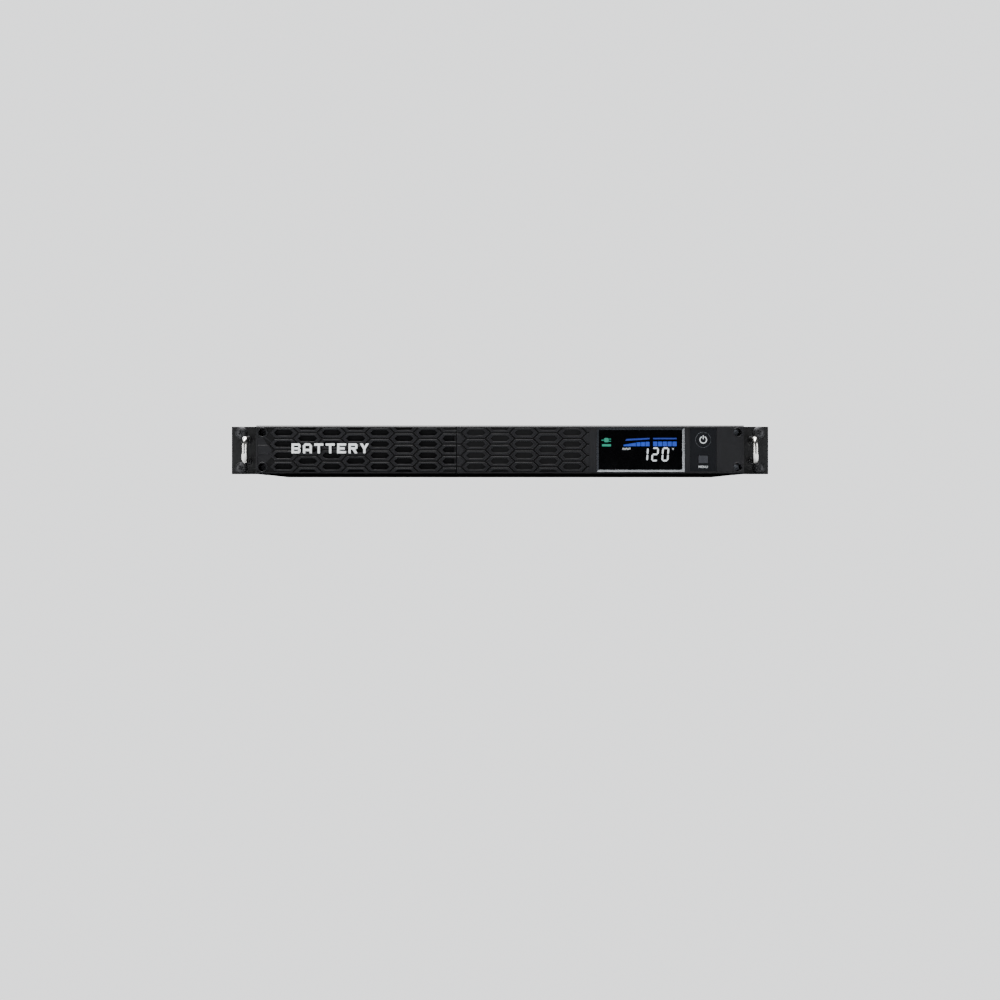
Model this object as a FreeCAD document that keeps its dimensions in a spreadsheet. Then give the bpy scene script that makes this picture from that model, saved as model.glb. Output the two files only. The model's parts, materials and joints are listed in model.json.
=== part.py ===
"""A one-unit rackmount UPS: sheet-metal case, moulded front, slide-out battery pack, inverter and sockets.

Frame: millimetres, +X to the right seen from the front, +Y into the rack, +Z up. The origin is the centre of
the four rack holes, on the rear face of the ears, which is the face that lies on the rack's rails.
"""
import FreeCAD, Part
import math
import os
from types import SimpleNamespace

import Sketcher

DRIVING = [
    # the case
    ("chassis_wide", 433.0, "outside width of the case"),
    ("chassis_high", 43.2, "outside height, one rack unit less clearance"),
    ("chassis_deep", 218.0, "case depth behind the ears' rear face"),
    ("sheet_thick", 1.2, "steel sheet"),
    ("sheet_gap", 0.2, "clearance between nested sheets"),
    ("vent_wide", 3.0, "side vent slot width"),
    ("vent_high", 24.0, "side vent slot height"),
    ("vent_pitch", 8.0, "side vent slot spacing"),
    ("vent_first", 96.0, "first side vent"),
    ("vent_count", 12, "side vents in a row"),
    ("top_vent_long", 26.0, "top vent slot length"),
    ("top_vent_left", 64.0, "first top vent"),
    ("top_vent_front", 60.0, "front row of top vents"),
    ("top_vent_row", 34.0, "spacing of the two rows of top vents"),
    ("top_vent_count", 16, "top vents in a row"),
    ("screw_radius", 1.5, "M3 screw"),
    ("screw_head", 2.8, "M3 head radius"),
    ("screw_play", 0.15, "radial clearance of a screw in its hole"),
    ("cover_screw_across", 330.0, "outer screws on top"),
    ("cover_screw_edge", 7.0, "top screws from the rear edge"),
    ("cover_screw_long", 4.6, "top screw length"),
    # ears and handles
    ("ear_span", 482.6, "width over both ears"),
    ("ear_high", 42.8, "ear height"),
    ("ear_thick", 2.0, "ear sheet"),
    ("ear_leg_deep", 62.0, "ear leg along the case"),
    ("rack_across", 465.1, "rack hole spacing across"),
    ("rack_up", 31.75, "rack hole spacing up"),
    ("slot_long", 10.0, "rack slot, end to end"),
    ("slot_wide", 7.0, "rack slot width"),
    ("ear_screw_first", 14.0, "first ear screw behind the rail plane"),
    ("ear_screw_pitch", 34.0, "ear screw spacing along the case"),
    ("ear_screw_up", 22.0, "ear screw spacing up"),
    ("ear_screw_radius", 2.0, "M4 ear screw"),
    ("ear_screw_head", 3.6, "M4 countersunk head"),
    ("ear_screw_long", 7.0, "ear screw length"),
    ("handle_across", 453.0, "spacing of the two handles"),
    ("handle_up", 19.0, "spacing of a handle's two feet"),
    ("handle_reach", 28.0, "handle in front of the ear"),
    ("handle_rod", 2.5, "handle rod radius"),
    ("handle_bend", 6.0, "bend radius on the rod's axis"),
    ("handle_bore_deep", 9.0, "tapped hole in a handle's foot"),
    # moulded front
    ("bezel_deep", 25.0, "moulded front's depth"),
    ("bezel_wall", 2.4, "side walls of the mouldings"),
    ("bezel_front", 4.0, "front wall of the mouldings"),
    ("bezel_edge", 1.4, "chamfer along the top and bottom"),
    ("seam_x", -38.5, "joint between battery door and bezel"),
    ("seam_gap", 0.4, "gap at that joint"),
    ("door_gap", 0.3, "gap behind the battery door"),
    ("cell_across", 21.35, "pocket columns"),
    ("cell_up", 10.07, "pocket rows in a column"),
    ("pocket_flat", 11.9, "flat side of a pocket"),
    ("pocket_high", 5.1, "pocket height"),
    ("door_pocket_deep", 2.4, "pocket depth in the door"),
    ("bezel_pocket_deep", 1.3, "pocket depth in the bezel"),
    ("field_deep", 0.8, "grille field behind the front face"),
    ("field_side", 1.3, "grille field from the door's outer end"),
    ("field_high", 39.8, "grille field height"),
    ("field_end", 79.2, "grille field's end in the bezel"),
    ("recess_across", 422.0, "spacing of the corner screw recesses"),
    ("recess_up", 31.0, "spacing of the recesses, up"),
    ("recess_radius", 3.5, "recess radius"),
    ("recess_deep", 17.0, "recess depth"),
    ("boss_radius", 5.0, "screw boss"),
    ("captive_long", 12.0, "front screw's length under its head"),
    ("captive_head_high", 3.0, "front screw's head height"),
    ("tab_high", 9.0, "locating tab"),
    ("tab_thick", 1.6, "locating tab thickness"),
    ("tab_reach", 3.4, "locating tab behind the moulding"),
    ("tab_from_seam", 5.0, "locating tab from the joint"),
    ("badge_centre", -150.6, "badge, across"),
    ("badge_up", 1.2, "badge, up"),
    ("badge_thick", 1.2, "badge in front of the grille"),
    ("letter_wide", 7.9, "badge letter width"),
    ("letter_high", 8.8, "badge letter height"),
    ("letter_pitch", 10.1, "badge letter spacing"),
    # display and buttons
    ("lcd_centre", 124.8, "display, across"),
    ("trim_wide", 78.0, "display trim"),
    ("trim_high", 39.4, "display trim height"),
    ("trim_face", 1.9, "width and depth of the trim's bevel"),
    ("trim_thick", 3.2, "trim from front to back"),
    ("lens_thick", 1.3, "display window"),
    ("lcd_thick", 3.4, "display glass"),
    ("panel_centre", 180.3, "button panel, across"),
    ("panel_wide", 23.8, "button panel width"),
    ("panel_high", 38.4, "button panel height"),
    ("panel_thick", 1.4, "button panel thickness"),
    ("power_up", 8.8, "power button, up"),
    ("power_radius", 6.0, "power button cap"),
    ("setup_up", -8.6, "menu button, up"),
    ("setup_wide", 8.3, "menu button width"),
    ("setup_high", 6.5, "menu button height"),
    ("button_play", 0.3, "gap round a button"),
    ("button_proud", 0.4, "button in front of the moulding"),
    ("power_travel", 1.2, "power button travel"),
    ("setup_travel", 0.8, "menu button travel"),
    ("switch_high", 3.6, "push switch"),
    ("switch_side", 7.0, "push switch side"),
    ("display_board_y", -12.0, "front face of the display board"),
    ("board_thick", 1.6, "circuit board"),
    ("ribbon_wide", 16.0, "display cable width"),
    ("ribbon_thick", 0.9, "display cable thickness"),
    # battery pack
    ("bay_left", -206.0, "battery opening, left"),
    ("bay_right", -46.0, "battery opening, right"),
    ("bay_high", 40.0, "battery opening height"),
    ("bay_low", -20.4, "battery opening, low edge"),
    ("divider_x", -38.4, "wall between battery and electronics"),
    ("cell_long", 151.0, "lead-acid block length"),
    ("cell_tall", 94.0, "lead-acid block height, lying down"),
    ("cell_wide", 34.0, "lead-acid block width"),
    ("cell_lid", 7.0, "lid of a block"),
    ("pack_left", -202.5, "battery blocks, left side"),
    ("pack_front", 6.0, "battery blocks, front face"),
    ("pack_middle", 10.0, "room for the terminals between the blocks"),
    ("cradle_thick", 1.0, "cradle sheet"),
    ("cradle_float", 0.4, "cradle above the case floor"),
    ("cradle_lip", 9.0, "cradle side lip"),
    ("terminal_wide", 6.35, "blade terminal"),
    ("terminal_thick", 0.8, "blade terminal thickness"),
    ("terminal_long", 6.2, "blade terminal length"),
    ("lead_radius", 1.7, "battery lead"),
    ("plug_left", -68.0, "battery plug"),
    ("plug_wide", 18.0, "battery plug width"),
    ("plug_high", 13.0, "battery plug height"),
    ("plug_deep", 7.6, "battery plug depth"),
    ("blade_play", 0.4, "gap round a blade in the plug"),
    # electronics
    ("board_left", -30.0, "main board, left"),
    ("board_right", 207.0, "main board, right"),
    ("board_near", 22.0, "main board, front"),
    ("board_far", 186.0, "main board, rear"),
    ("standoff_high", 6.0, "board above the floor"),
    ("standoff_radius", 3.0, "standoff"),
    ("core_long", 52.0, "transformer core"),
    ("core_deep", 44.0, "transformer core depth"),
    ("core_high", 28.0, "transformer core height"),
    ("core_leg", 10.0, "transformer core leg"),
    ("sink_long", 112.0, "heatsink length"),
    ("sink_deep", 14.0, "heatsink depth"),
    ("sink_high", 28.0, "heatsink height"),
    ("sink_fins", 9, "heatsink fins"),
    ("can_radius", 9.0, "capacitor radius"),
    ("can_high", 30.0, "capacitor height"),
    ("relay_long", 19.0, "relay"),
    ("relay_wide", 15.5, "relay width"),
    ("relay_high", 15.0, "relay height"),
    # rear
    ("fan_centre", -15.6, "fan, across"),
    ("fan_side", 40.0, "fan frame"),
    ("fan_deep", 20.0, "fan frame depth"),
    ("fan_bore", 18.6, "fan bore radius"),
    ("fan_hole", 16.0, "fan screw from the centre, each way"),
    ("fan_tip", 17.6, "blade tip radius"),
    ("fan_hub", 8.8, "hub radius"),
    ("fan_blades", 7, "blades"),
    ("wire_radius", 0.75, "guard wire"),
    ("inlet_centre", 19.6, "mains inlet, across"),
    ("inlet_wide", 27.4, "mains inlet body"),
    ("inlet_high", 20.0, "mains inlet body height"),
    ("inlet_flange", 2.0, "flange round the inlet"),
    ("inlet_deep", 17.0, "mains inlet cavity"),
    ("breaker_centre", 43.4, "circuit breaker, across"),
    ("outlet_first", 70.5, "first outlet, across"),
    ("outlet_pitch", 29.6, "outlet spacing"),
    ("outlet_wide", 27.0, "outlet face"),
    ("outlet_high", 33.0, "outlet face height"),
    ("outlet_count", 4, "outlets"),
    ("outlet_deep", 24.0, "outlet body inside the panel"),
    ("outlet_proud", 1.6, "outlet face behind the panel"),
    ("port_centre", 194.4, "signal ports, across"),
]


class Size:
    """A length that carries its value and the sheet expression that gives it."""

    def __init__(self, value, text):
        self.value = float(value)
        self.text = text

    def joined(self, other, sign, value):
        return Size(value, "(%s %s %s)" % (self.text, sign, other.text))

    def __add__(self, other):
        other = size(other)
        return self.joined(other, "+", self.value + other.value)

    def __sub__(self, other):
        other = size(other)
        return self.joined(other, "-", self.value - other.value)

    def __mul__(self, other):
        other = size(other)
        return self.joined(other, "*", self.value * other.value)

    def __truediv__(self, other):
        other = size(other)
        return self.joined(other, "/", self.value / other.value)

    def __neg__(self):
        return size(0) - self

    def __radd__(self, other):
        return size(other) + self

    def __rsub__(self, other):
        return size(other) - self

    def __rmul__(self, other):
        return size(other) * self


def size(number):
    """Any number as a Size."""
    return number if isinstance(number, Size) else Size(number, repr(float(number)))


doc = FreeCAD.newDocument("rackmount_ups")
sheet = doc.addObject("Spreadsheet::Sheet", "dims")
for line, (alias, number, meaning) in enumerate(DRIVING, start=1):
    sheet.set("A%d" % line, meaning)
    sheet.set("B%d" % line, str(number))
    sheet.setAlias("B%d" % line, alias)
doc.recompute()
d = SimpleNamespace(**{alias: Size(number, "dims." + alias) for alias, number, _ in DRIVING})

ZERO = size(0)
HALF_WIDE = d.chassis_wide / 2
TOP = d.chassis_high / 2
FLOOR = d.sheet_thick - TOP
CEILING = TOP - d.sheet_thick - d.sheet_gap
TRAY_OUT = HALF_WIDE - d.sheet_thick - d.sheet_gap
TRAY_IN = TRAY_OUT - d.sheet_thick
REAR = d.chassis_deep
PANEL_IN = REAR - d.sheet_thick
FACE = -d.bezel_deep
FACE_BACK = FACE + d.bezel_front
BOARD_TOP = FLOOR + d.standoff_high + d.board_thick
CRADLE_TOP = FLOOR + d.cradle_float + d.cradle_thick
PACK_RIGHT = d.pack_left + d.cell_long
PACK_TOP = CRADLE_TOP + d.cell_wide
NEAR_BACK = d.pack_front + d.cell_tall
FAR_FRONT = NEAR_BACK + d.pack_middle
PACK_BACK = FAR_FRONT + d.cell_tall
GROUND = (size(-84.0), size(-9.0))
RUN = 400.0
OVER = 1.0

nodes = []


def node(thing, label):
    """Keeps a finished document object as a sub-part under its label."""
    thing.Label = label
    nodes.append(thing)
    return thing


# ---- Part primitives -----------------------------------------------------------------------------


def bind(thing, prop, length):
    """Sets a property from the sheet."""
    thing.setExpression(prop, size(length).text)


def place(thing, point):
    """Binds an object's position."""
    for axis, length in zip("xyz", point):
        bind(thing, "Placement.Base." + axis, length)


def block(corner, sides):
    """A box from its lowest corner and its three sides."""
    made = doc.addObject("Part::Box", "block")
    for prop, length in zip(("Length", "Width", "Height"), sides):
        bind(made, prop, length)
    place(made, corner)
    return made


def span(low, high):
    """A box from its lowest corner to its highest."""
    return block(low, [size(b) - a for a, b in zip(low, high)])


TURNS = {
    "z": FreeCAD.Rotation(),
    "y": FreeCAD.Rotation(FreeCAD.Vector(1, 0, 0), -90),
    "-y": FreeCAD.Rotation(FreeCAD.Vector(1, 0, 0), 90),
    "x": FreeCAD.Rotation(FreeCAD.Vector(0, 1, 0), 90),
    "-x": FreeCAD.Rotation(FreeCAD.Vector(0, 1, 0), -90),
}


def rod(start, axis, radius, length):
    """A cylinder from a point, along an axis."""
    made = doc.addObject("Part::Cylinder", "rod")
    made.Placement.Rotation = TURNS[axis]
    bind(made, "Radius", radius)
    bind(made, "Height", length)
    place(made, start)
    return made


def cone(start, axis, first, last, length):
    """A cone from a point, along an axis."""
    made = doc.addObject("Part::Cone", "cone")
    made.Placement.Rotation = TURNS[axis]
    bind(made, "Radius1", first)
    bind(made, "Radius2", last)
    bind(made, "Height", length)
    place(made, start)
    return made


def ring(centre, axis, radius, wire):
    """A torus round an axis."""
    made = doc.addObject("Part::Torus", "ring")
    made.Placement.Rotation = TURNS[axis]
    bind(made, "Radius1", radius)
    bind(made, "Radius2", wire)
    place(made, centre)
    return made


def joined(*things):
    """Several objects as one solid."""
    made = doc.addObject("Part::MultiFuse", "joined")
    made.Shapes = list(things)
    return made


def group(*things):
    """Several objects as separate solids of one sub-part."""
    made = doc.addObject("Part::Compound", "group")
    made.Links = list(things)
    return made


def cut(base, *tools):
    """A base less its tools."""
    made = doc.addObject("Part::Cut", "cut")
    made.Base = base
    made.Tool = tools[0] if len(tools) == 1 else joined(*tools)
    return made


def common(base, tool):
    """What two objects share."""
    made = doc.addObject("Part::Common", "common")
    made.Base = base
    made.Tool = tool
    return made


def wire_tube(points, bends, radius):
    """A round cable along straight runs, with an arc at each inner point. Bends gives each arc's radius."""
    spots = [FreeCAD.Vector(*[size(c).value for c in point]) for point in points]
    edges = []
    start = spots[0]
    for before, corner, after, bend in zip(spots, spots[1:], spots[2:], bends):
        back = (before - corner).normalize()
        ahead = (after - corner).normalize()
        half = back.getAngle(ahead) / 2
        reach = bend / math.tan(half)
        first = corner + back * reach
        last = corner + ahead * reach
        inward = (back + ahead).normalize()
        middle = corner + inward * ((reach * reach + bend * bend) ** 0.5 - bend)
        edges.append(Part.LineSegment(start, first).toShape())
        edges.append(Part.Arc(first, middle, last).toShape())
        start = last
    edges.append(Part.LineSegment(start, spots[-1]).toShape())
    path = Part.Wire(edges)
    circle = Part.Wire(Part.makeCircle(size(radius).value, spots[0], spots[1] - spots[0]))
    tube = path.makePipeShell([circle], True, True)
    made = doc.addObject("Part::Feature", "tube")
    made.Shape = tube
    return made


# ---- PartDesign ----------------------------------------------------------------------------------


def new_body(label):
    """A PartDesign body."""
    return doc.addObject("PartDesign::Body", label)


def sketch_on(body, role, away=0):
    """An empty sketch on one of the body's planes, moved along the plane's normal."""
    made = body.newObject("Sketcher::SketchObject", "sketch")
    made.AttachmentSupport = [(f, "") for f in body.Origin.OriginFeatures if f.Role == role]
    made.MapMode = "FlatFace"
    bind(made, "AttachmentOffset.Base.z", away)
    return made


def hold(sketch, kind, places, length):
    """Adds a constraint whose value comes from the sheet."""
    index = sketch.addConstraint(Sketcher.Constraint(kind, *places, size(length).value))
    bind(sketch, "Constraints[%d]" % index, length)


def outline(sketch, corners):
    """A closed outline of straight sides, every corner bound to the sheet."""
    spots = [FreeCAD.Vector(size(a).value, size(b).value, 0) for a, b in corners]
    first = len(sketch.Geometry)
    count = len(spots)
    for i, spot in enumerate(spots):
        sketch.addGeometry(Part.LineSegment(spot, spots[(i + 1) % count]), False)
    for i, (across, up) in enumerate(corners):
        sketch.addConstraint(Sketcher.Constraint("Coincident", first + (i - 1) % count, 2, first + i, 1))
        hold(sketch, "DistanceX", (-1, 1, first + i, 1), across)
        hold(sketch, "DistanceY", (-1, 1, first + i, 1), up)


def rectangle(sketch, left, low, right, high):
    """A rectangle between two corners."""
    outline(sketch, [(left, low), (right, low), (right, high), (left, high)])


def circle(sketch, across, up, radius):
    """A circle bound to the sheet."""
    centre = FreeCAD.Vector(size(across).value, size(up).value, 0)
    normal = FreeCAD.Vector(0, 0, 1)
    index = sketch.addGeometry(Part.Circle(centre, normal, size(radius).value), False)
    hold(sketch, "DistanceX", (-1, 1, index, 3), across)
    hold(sketch, "DistanceY", (-1, 1, index, 3), up)
    hold(sketch, "Radius", (index,), radius)


def pad(body, sketch, length, backwards=False):
    """Material from a sketch."""
    made = body.newObject("PartDesign::Pad", "pad")
    made.Profile = sketch
    made.Reversed = backwards
    bind(made, "Length", length)
    return made


def pocket(body, sketch, depth, backwards=False):
    """A hollow from a sketch."""
    made = body.newObject("PartDesign::Pocket", "pocket")
    made.Profile = sketch
    made.Reversed = backwards
    bind(made, "Length", depth)
    return made


def through(body, sketch):
    """A hollow both ways from a sketch, right through."""
    made = pocket(body, sketch, size(RUN) * 2)
    made.Midplane = True
    return made


def grid(body, feature, sketch, across, columns, up, rows):
    """A feature repeated in columns and rows along its sketch's axes."""
    made = body.newObject("PartDesign::LinearPattern", "grid")
    made.Originals = [feature]
    made.Direction = (sketch, ["H_Axis"])
    made.Direction2 = (sketch, ["V_Axis"])
    bind(made, "Length", across * (columns - 1))
    bind(made, "Occurrences", columns)
    if size(rows).value > 1:
        bind(made, "Length2", up * (rows - 1))
        bind(made, "Occurrences2", rows)
    body.Tip = made
    return made


# ---- shared shapes -------------------------------------------------------------------------------


def corners_of(across, up):
    """The four corners of a rectangle round the centre line."""
    return [(across * i / 2, up * j / 2) for i in (-1, 1) for j in (-1, 1)]


def sunk_screw(point, axis, head, shank, length):
    """A countersunk screw from the centre of its flat head, with a cross recess."""
    high = head - shank
    body = joined(cone(point, axis, head, shank, high), rod(point, axis, shank, length))
    arm = head * 0.45
    slim = head * 0.12
    deep = high * 0.5
    turn = {"x": 0, "-x": 0, "y": 1, "-y": 1, "z": 2}[axis]
    bars = []
    for wide, tall in ((arm, slim), (slim, arm)):
        low = list(point)
        high_corner = list(point)
        across, up = [i for i in range(3) if i != turn]
        low[across], high_corner[across] = point[across] - wide, point[across] + wide
        low[up], high_corner[up] = point[up] - tall, point[up] + tall
        inward = -deep if axis.startswith("-") or axis == "-z" else deep
        if axis.startswith("-"):
            low[turn], high_corner[turn] = point[turn] + inward, point[turn] + OVER
        else:
            low[turn], high_corner[turn] = point[turn] - OVER, point[turn] + inward
        bars.append(span(low, high_corner))
    return cut(body, *bars)


# ---- case ----------------------------------------------------------------------------------------


def side_vents(body):
    """Slots through both side walls."""
    slot = sketch_on(body, "YZ_Plane")
    rectangle(slot, d.vent_first, -d.vent_high / 2, d.vent_first + d.vent_wide, d.vent_high / 2)
    grid(body, through(body, slot), slot, d.vent_pitch, d.vent_count, ZERO, 1)


def ear_screw_places():
    """Where the ear screws are, along the case and up."""
    return [
        (d.ear_screw_first + d.ear_screw_pitch * i, d.ear_screw_up * (j - 0.5))
        for i in (0, 1)
        for j in (0, 1)
    ]


def side_screw_holes(body, radius):
    """Holes for the ear screws through both side walls."""
    holes = sketch_on(body, "YZ_Plane")
    for along, up in ear_screw_places():
        circle(holes, along, up, radius)
    through(body, holes)


def chassis_tray():
    """The base sheet: floor and two side walls."""
    body = new_body("tray")
    profile = sketch_on(body, "XZ_Plane")
    outline(
        profile,
        [
            (-TRAY_OUT, -TOP),
            (TRAY_OUT, -TOP),
            (TRAY_OUT, CEILING),
            (TRAY_IN, CEILING),
            (TRAY_IN, FLOOR),
            (-TRAY_IN, FLOOR),
            (-TRAY_IN, CEILING),
            (-TRAY_OUT, CEILING),
        ],
    )
    pad(body, profile, REAR, True)
    side_screw_holes(body, d.ear_screw_radius)
    side_vents(body)
    node(body, "chassis_tray")


def cover_screw_places():
    """Screws along the rear edge of the cover."""
    return [d.cover_screw_across * i / 6 for i in (-3, -1, 1, 3)]


def top_cover():
    """The lid sheet: top and two side flanges outside the tray."""
    body = new_body("cover")
    inner = HALF_WIDE - d.sheet_thick
    low = d.sheet_gap * 2 - TOP
    profile = sketch_on(body, "XZ_Plane")
    outline(
        profile,
        [
            (-HALF_WIDE, low),
            (-inner, low),
            (-inner, TOP - d.sheet_thick),
            (inner, TOP - d.sheet_thick),
            (inner, low),
            (HALF_WIDE, low),
            (HALF_WIDE, TOP),
            (-HALF_WIDE, TOP),
        ],
    )
    pad(body, profile, REAR, True)
    side_screw_holes(body, d.ear_screw_radius + d.screw_play)
    side_vents(body)
    slot = sketch_on(body, "XY_Plane")
    left = d.top_vent_left
    rectangle(slot, left, d.top_vent_front, left + d.vent_wide, d.top_vent_front + d.top_vent_long)
    grid(body, through(body, slot), slot, d.vent_pitch, d.top_vent_count, d.top_vent_row, 2)
    sinks = [
        cone(
            (x, REAR - d.cover_screw_edge, TOP - d.sheet_thick - OVER),
            "z",
            d.screw_radius - 0.85,
            3.15,
            2.5,
        )
        for x in cover_screw_places()
    ]
    node(cut(body, *sinks), "top_cover")
    screws = []
    for x in cover_screw_places():
        y = REAR - d.cover_screw_edge
        head_low = TOP - d.sheet_thick
        cap = cone((x, y, head_low), "z", d.screw_radius, d.screw_head - 0.1, d.sheet_thick)
        shank_long = d.cover_screw_long - d.sheet_thick
        shank = rod((x, y, TOP - d.cover_screw_long), "z", d.screw_radius, shank_long)
        recess = joined(
            block((x - 1.3, y - 0.35, TOP - 0.7), (2.6, 0.7, OVER)),
            block((x - 0.35, y - 1.3, TOP - 0.7), (0.7, 2.6, OVER)),
        )
        screws.append(cut(joined(cap, shank), recess))
    node(group(*screws), "cover_screws")


def front_frame():
    """The steel front behind the mouldings, with the battery opening."""
    body = new_body("frame")
    plate = sketch_on(body, "XZ_Plane")
    rectangle(plate, -TRAY_IN, FLOOR, TRAY_IN, CEILING)
    pad(body, plate, d.sheet_thick, True)
    opening = sketch_on(body, "XZ_Plane")
    rectangle(opening, d.bay_left, d.bay_low, d.bay_right, d.bay_low + d.bay_high)
    cable = d.lcd_centre - d.ribbon_wide
    rectangle(opening, cable, -6.0, cable + d.ribbon_wide * 2, 6.0)
    for x, z in corners_of(d.recess_across, d.recess_up):
        circle(opening, x, z, d.screw_radius + d.button_play)
    for x in tab_places():
        left = x - d.tab_thick / 2 - d.button_play
        for z in tab_heights():
            low = z - d.tab_high / 2 - d.button_play
            rectangle(opening, left, low, left + d.tab_thick + 0.6, low + d.tab_high + 0.6)
    through(body, opening)
    node(body, "front_frame")


def bay_divider():
    """The wall between the battery and the electronics, with a foot and a cable hole."""
    x = d.divider_x
    wall = span((x, d.sheet_thick, FLOOR), (x + d.sheet_thick, PANEL_IN, CEILING))
    foot = span((x, d.sheet_thick, FLOOR), (x + 7.0, PANEL_IN - d.fan_deep - 1.0, FLOOR + d.sheet_thick))
    hole = rod((x - OVER, 169.8, CRADLE_TOP + 10.6), "x", 6.0, 10.0)
    node(cut(joined(wall, foot), hole), "bay_divider")


def rear_panel():
    """The rear sheet with a top flange and an opening for each fitting."""
    body = new_body("panel")
    plate = sketch_on(body, "XZ_Plane", -PANEL_IN)
    rectangle(plate, -TRAY_IN, FLOOR, TRAY_IN, CEILING)
    pad(body, plate, d.sheet_thick, True)
    flange = sketch_on(body, "XZ_Plane", -PANEL_IN)
    aside = d.fan_side / 2 + 2.4
    low = CEILING - d.sheet_thick
    rectangle(flange, -TRAY_IN + 2.0, low, d.fan_centre - aside - 2.0, CEILING)
    rectangle(flange, d.fan_centre + aside, low, TRAY_IN - 2.0, CEILING)
    pad(body, flange, 10.0)
    holes = sketch_on(body, "XZ_Plane", -PANEL_IN + 2.0)
    circle(holes, d.fan_centre, 0, d.fan_bore)
    for i in (-1, 1):
        for j in (-1, 1):
            circle(holes, d.fan_centre + d.fan_hole * i, d.fan_hole * j, 2.1)
    rectangle(
        holes,
        d.inlet_centre - d.inlet_wide / 2,
        -d.inlet_high / 2,
        d.inlet_centre + d.inlet_wide / 2,
        d.inlet_high / 2,
    )
    circle(holes, d.breaker_centre, 0, 5.6)
    for i in range(int(d.outlet_count.value)):
        x = d.outlet_first + d.outlet_pitch * i
        rectangle(holes, x - d.outlet_wide / 2, -d.outlet_high / 2, x + d.outlet_wide / 2, d.outlet_high / 2)
    for low_x, low_z, high_x, high_z in port_openings():
        rectangle(holes, low_x, low_z, high_x, high_z)
    circle(holes, GROUND[0], GROUND[1], 2.1)
    pocket(body, holes, 6.0)
    slots = sketch_on(body, "XZ_Plane", -PANEL_IN + 2.0)
    rectangle(slots, -204.0, -15.0, -201.0, 15.0)
    grid(body, pocket(body, slots, 6.0), slots, size(6.0), 8, ZERO, 1)
    slots = sketch_on(body, "XZ_Plane", -PANEL_IN + 2.0)
    rectangle(slots, -92.0, 2.0, -89.0, 15.0)
    grid(body, pocket(body, slots, 6.0), slots, size(6.0), 6, size(-17.0), 1)
    sinks = [
        rod((x, REAR - d.cover_screw_edge, CEILING - 3.0), "z", d.screw_radius + 0.05, 6.0)
        for x in cover_screw_places()
    ]
    node(cut(body, *sinks), "rear_panel")


# ---- ears and handles ----------------------------------------------------------------------------


def ear(side, label):
    """An angle bracket: a slotted face on the rail and a leg along the case. Side is -1 or 1."""
    body = new_body("bracket")
    profile = sketch_on(body, "XY_Plane", -d.ear_high / 2)
    outer = d.ear_span / 2 * side
    inner = HALF_WIDE * side
    leg = (HALF_WIDE + d.ear_thick) * side
    outline(
        profile,
        [
            (inner, -d.ear_thick),
            (outer, -d.ear_thick),
            (outer, ZERO),
            (leg, ZERO),
            (leg, d.ear_leg_deep),
            (inner, d.ear_leg_deep),
        ],
    )
    pad(body, profile, d.ear_high)
    slots = sketch_on(body, "XZ_Plane")
    middle = d.rack_across / 2 * side
    straight = (d.slot_long - d.slot_wide) / 2
    for j in (-1, 1):
        up = d.rack_up / 2 * j
        rectangle(slots, middle - straight, up - d.slot_wide / 2, middle + straight, up + d.slot_wide / 2)
    through(body, slots)
    ends = sketch_on(body, "XZ_Plane")
    for i in (-1, 1):
        for j in (-1, 1):
            circle(ends, middle + straight * i, d.rack_up / 2 * j, d.slot_wide / 2)
    through(body, ends)
    tools = []
    for j in (-1, 1):
        at = (d.handle_across / 2 * side, ZERO, d.handle_up / 2 * j)
        wide = d.screw_head + d.screw_play
        hole = d.screw_radius + d.screw_play
        tools.append(cone(at, "-y", wide, hole, wide - hole))
        tools.append(rod(at, "-y", d.screw_radius + d.screw_play, d.ear_thick + OVER))
    for along, up in ear_screw_places():
        at = (leg, along, up)
        way = "-x" if side > 0 else "x"
        wide = d.ear_screw_head + d.screw_play
        narrow = d.ear_screw_radius + d.screw_play
        tools.append(cone(at, way, wide, narrow, wide - narrow))
        tools.append(rod(at, way, narrow, d.ear_thick + OVER))
    node(cut(body, *tools), label)


def handle(side, label):
    """A bent rod with a tapped hole in each foot. Side is -1 or 1."""
    across = d.handle_across / 2 * side
    up = d.handle_up / 2
    front = -d.ear_thick - d.handle_reach + d.handle_rod
    back = -d.ear_thick
    points = [(across, back, -up), (across, front, -up), (across, front, up), (across, back, up)]
    tube = wire_tube(points, [d.handle_bend.value] * 2, d.handle_rod)
    bores = [
        rod((across, back + OVER, up * j), "-y", d.screw_radius + 0.05, d.handle_bore_deep + OVER)
        for j in (-1, 1)
    ]
    node(cut(tube, *bores), label)


def ears_and_handles():
    """Both ears, their handles and all their screws."""
    fixings = []
    for side, word in ((-1, "left"), (1, "right")):
        ear(side, word + "_ear")
        handle(side, word + "_handle")
        way = "-x" if side > 0 else "x"
        for along, up in ear_screw_places():
            at = ((HALF_WIDE + d.ear_thick) * side, along, up)
            fixings.append(
                sunk_screw(at, way, d.ear_screw_head, d.ear_screw_radius - 0.05, d.ear_screw_long)
            )
    node(group(*fixings), "ear_screws")
    screws = [
        sunk_screw((x, ZERO, z), "-y", d.screw_head, d.screw_radius, d.ear_thick + 7.0)
        for x, z in corners_of(d.handle_across, d.handle_up)
    ]
    node(group(*screws), "handle_screws")


# ---- moulded front -------------------------------------------------------------------------------


def tab_places():
    """Locating tabs each side of the joint between door and bezel, across."""
    return [d.seam_x - d.tab_from_seam + 1.0, d.seam_x + d.tab_from_seam + 1.0]


def tab_heights():
    """The two tabs of a moulding, up."""
    return [size(-11.0), size(11.0)]


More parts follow.
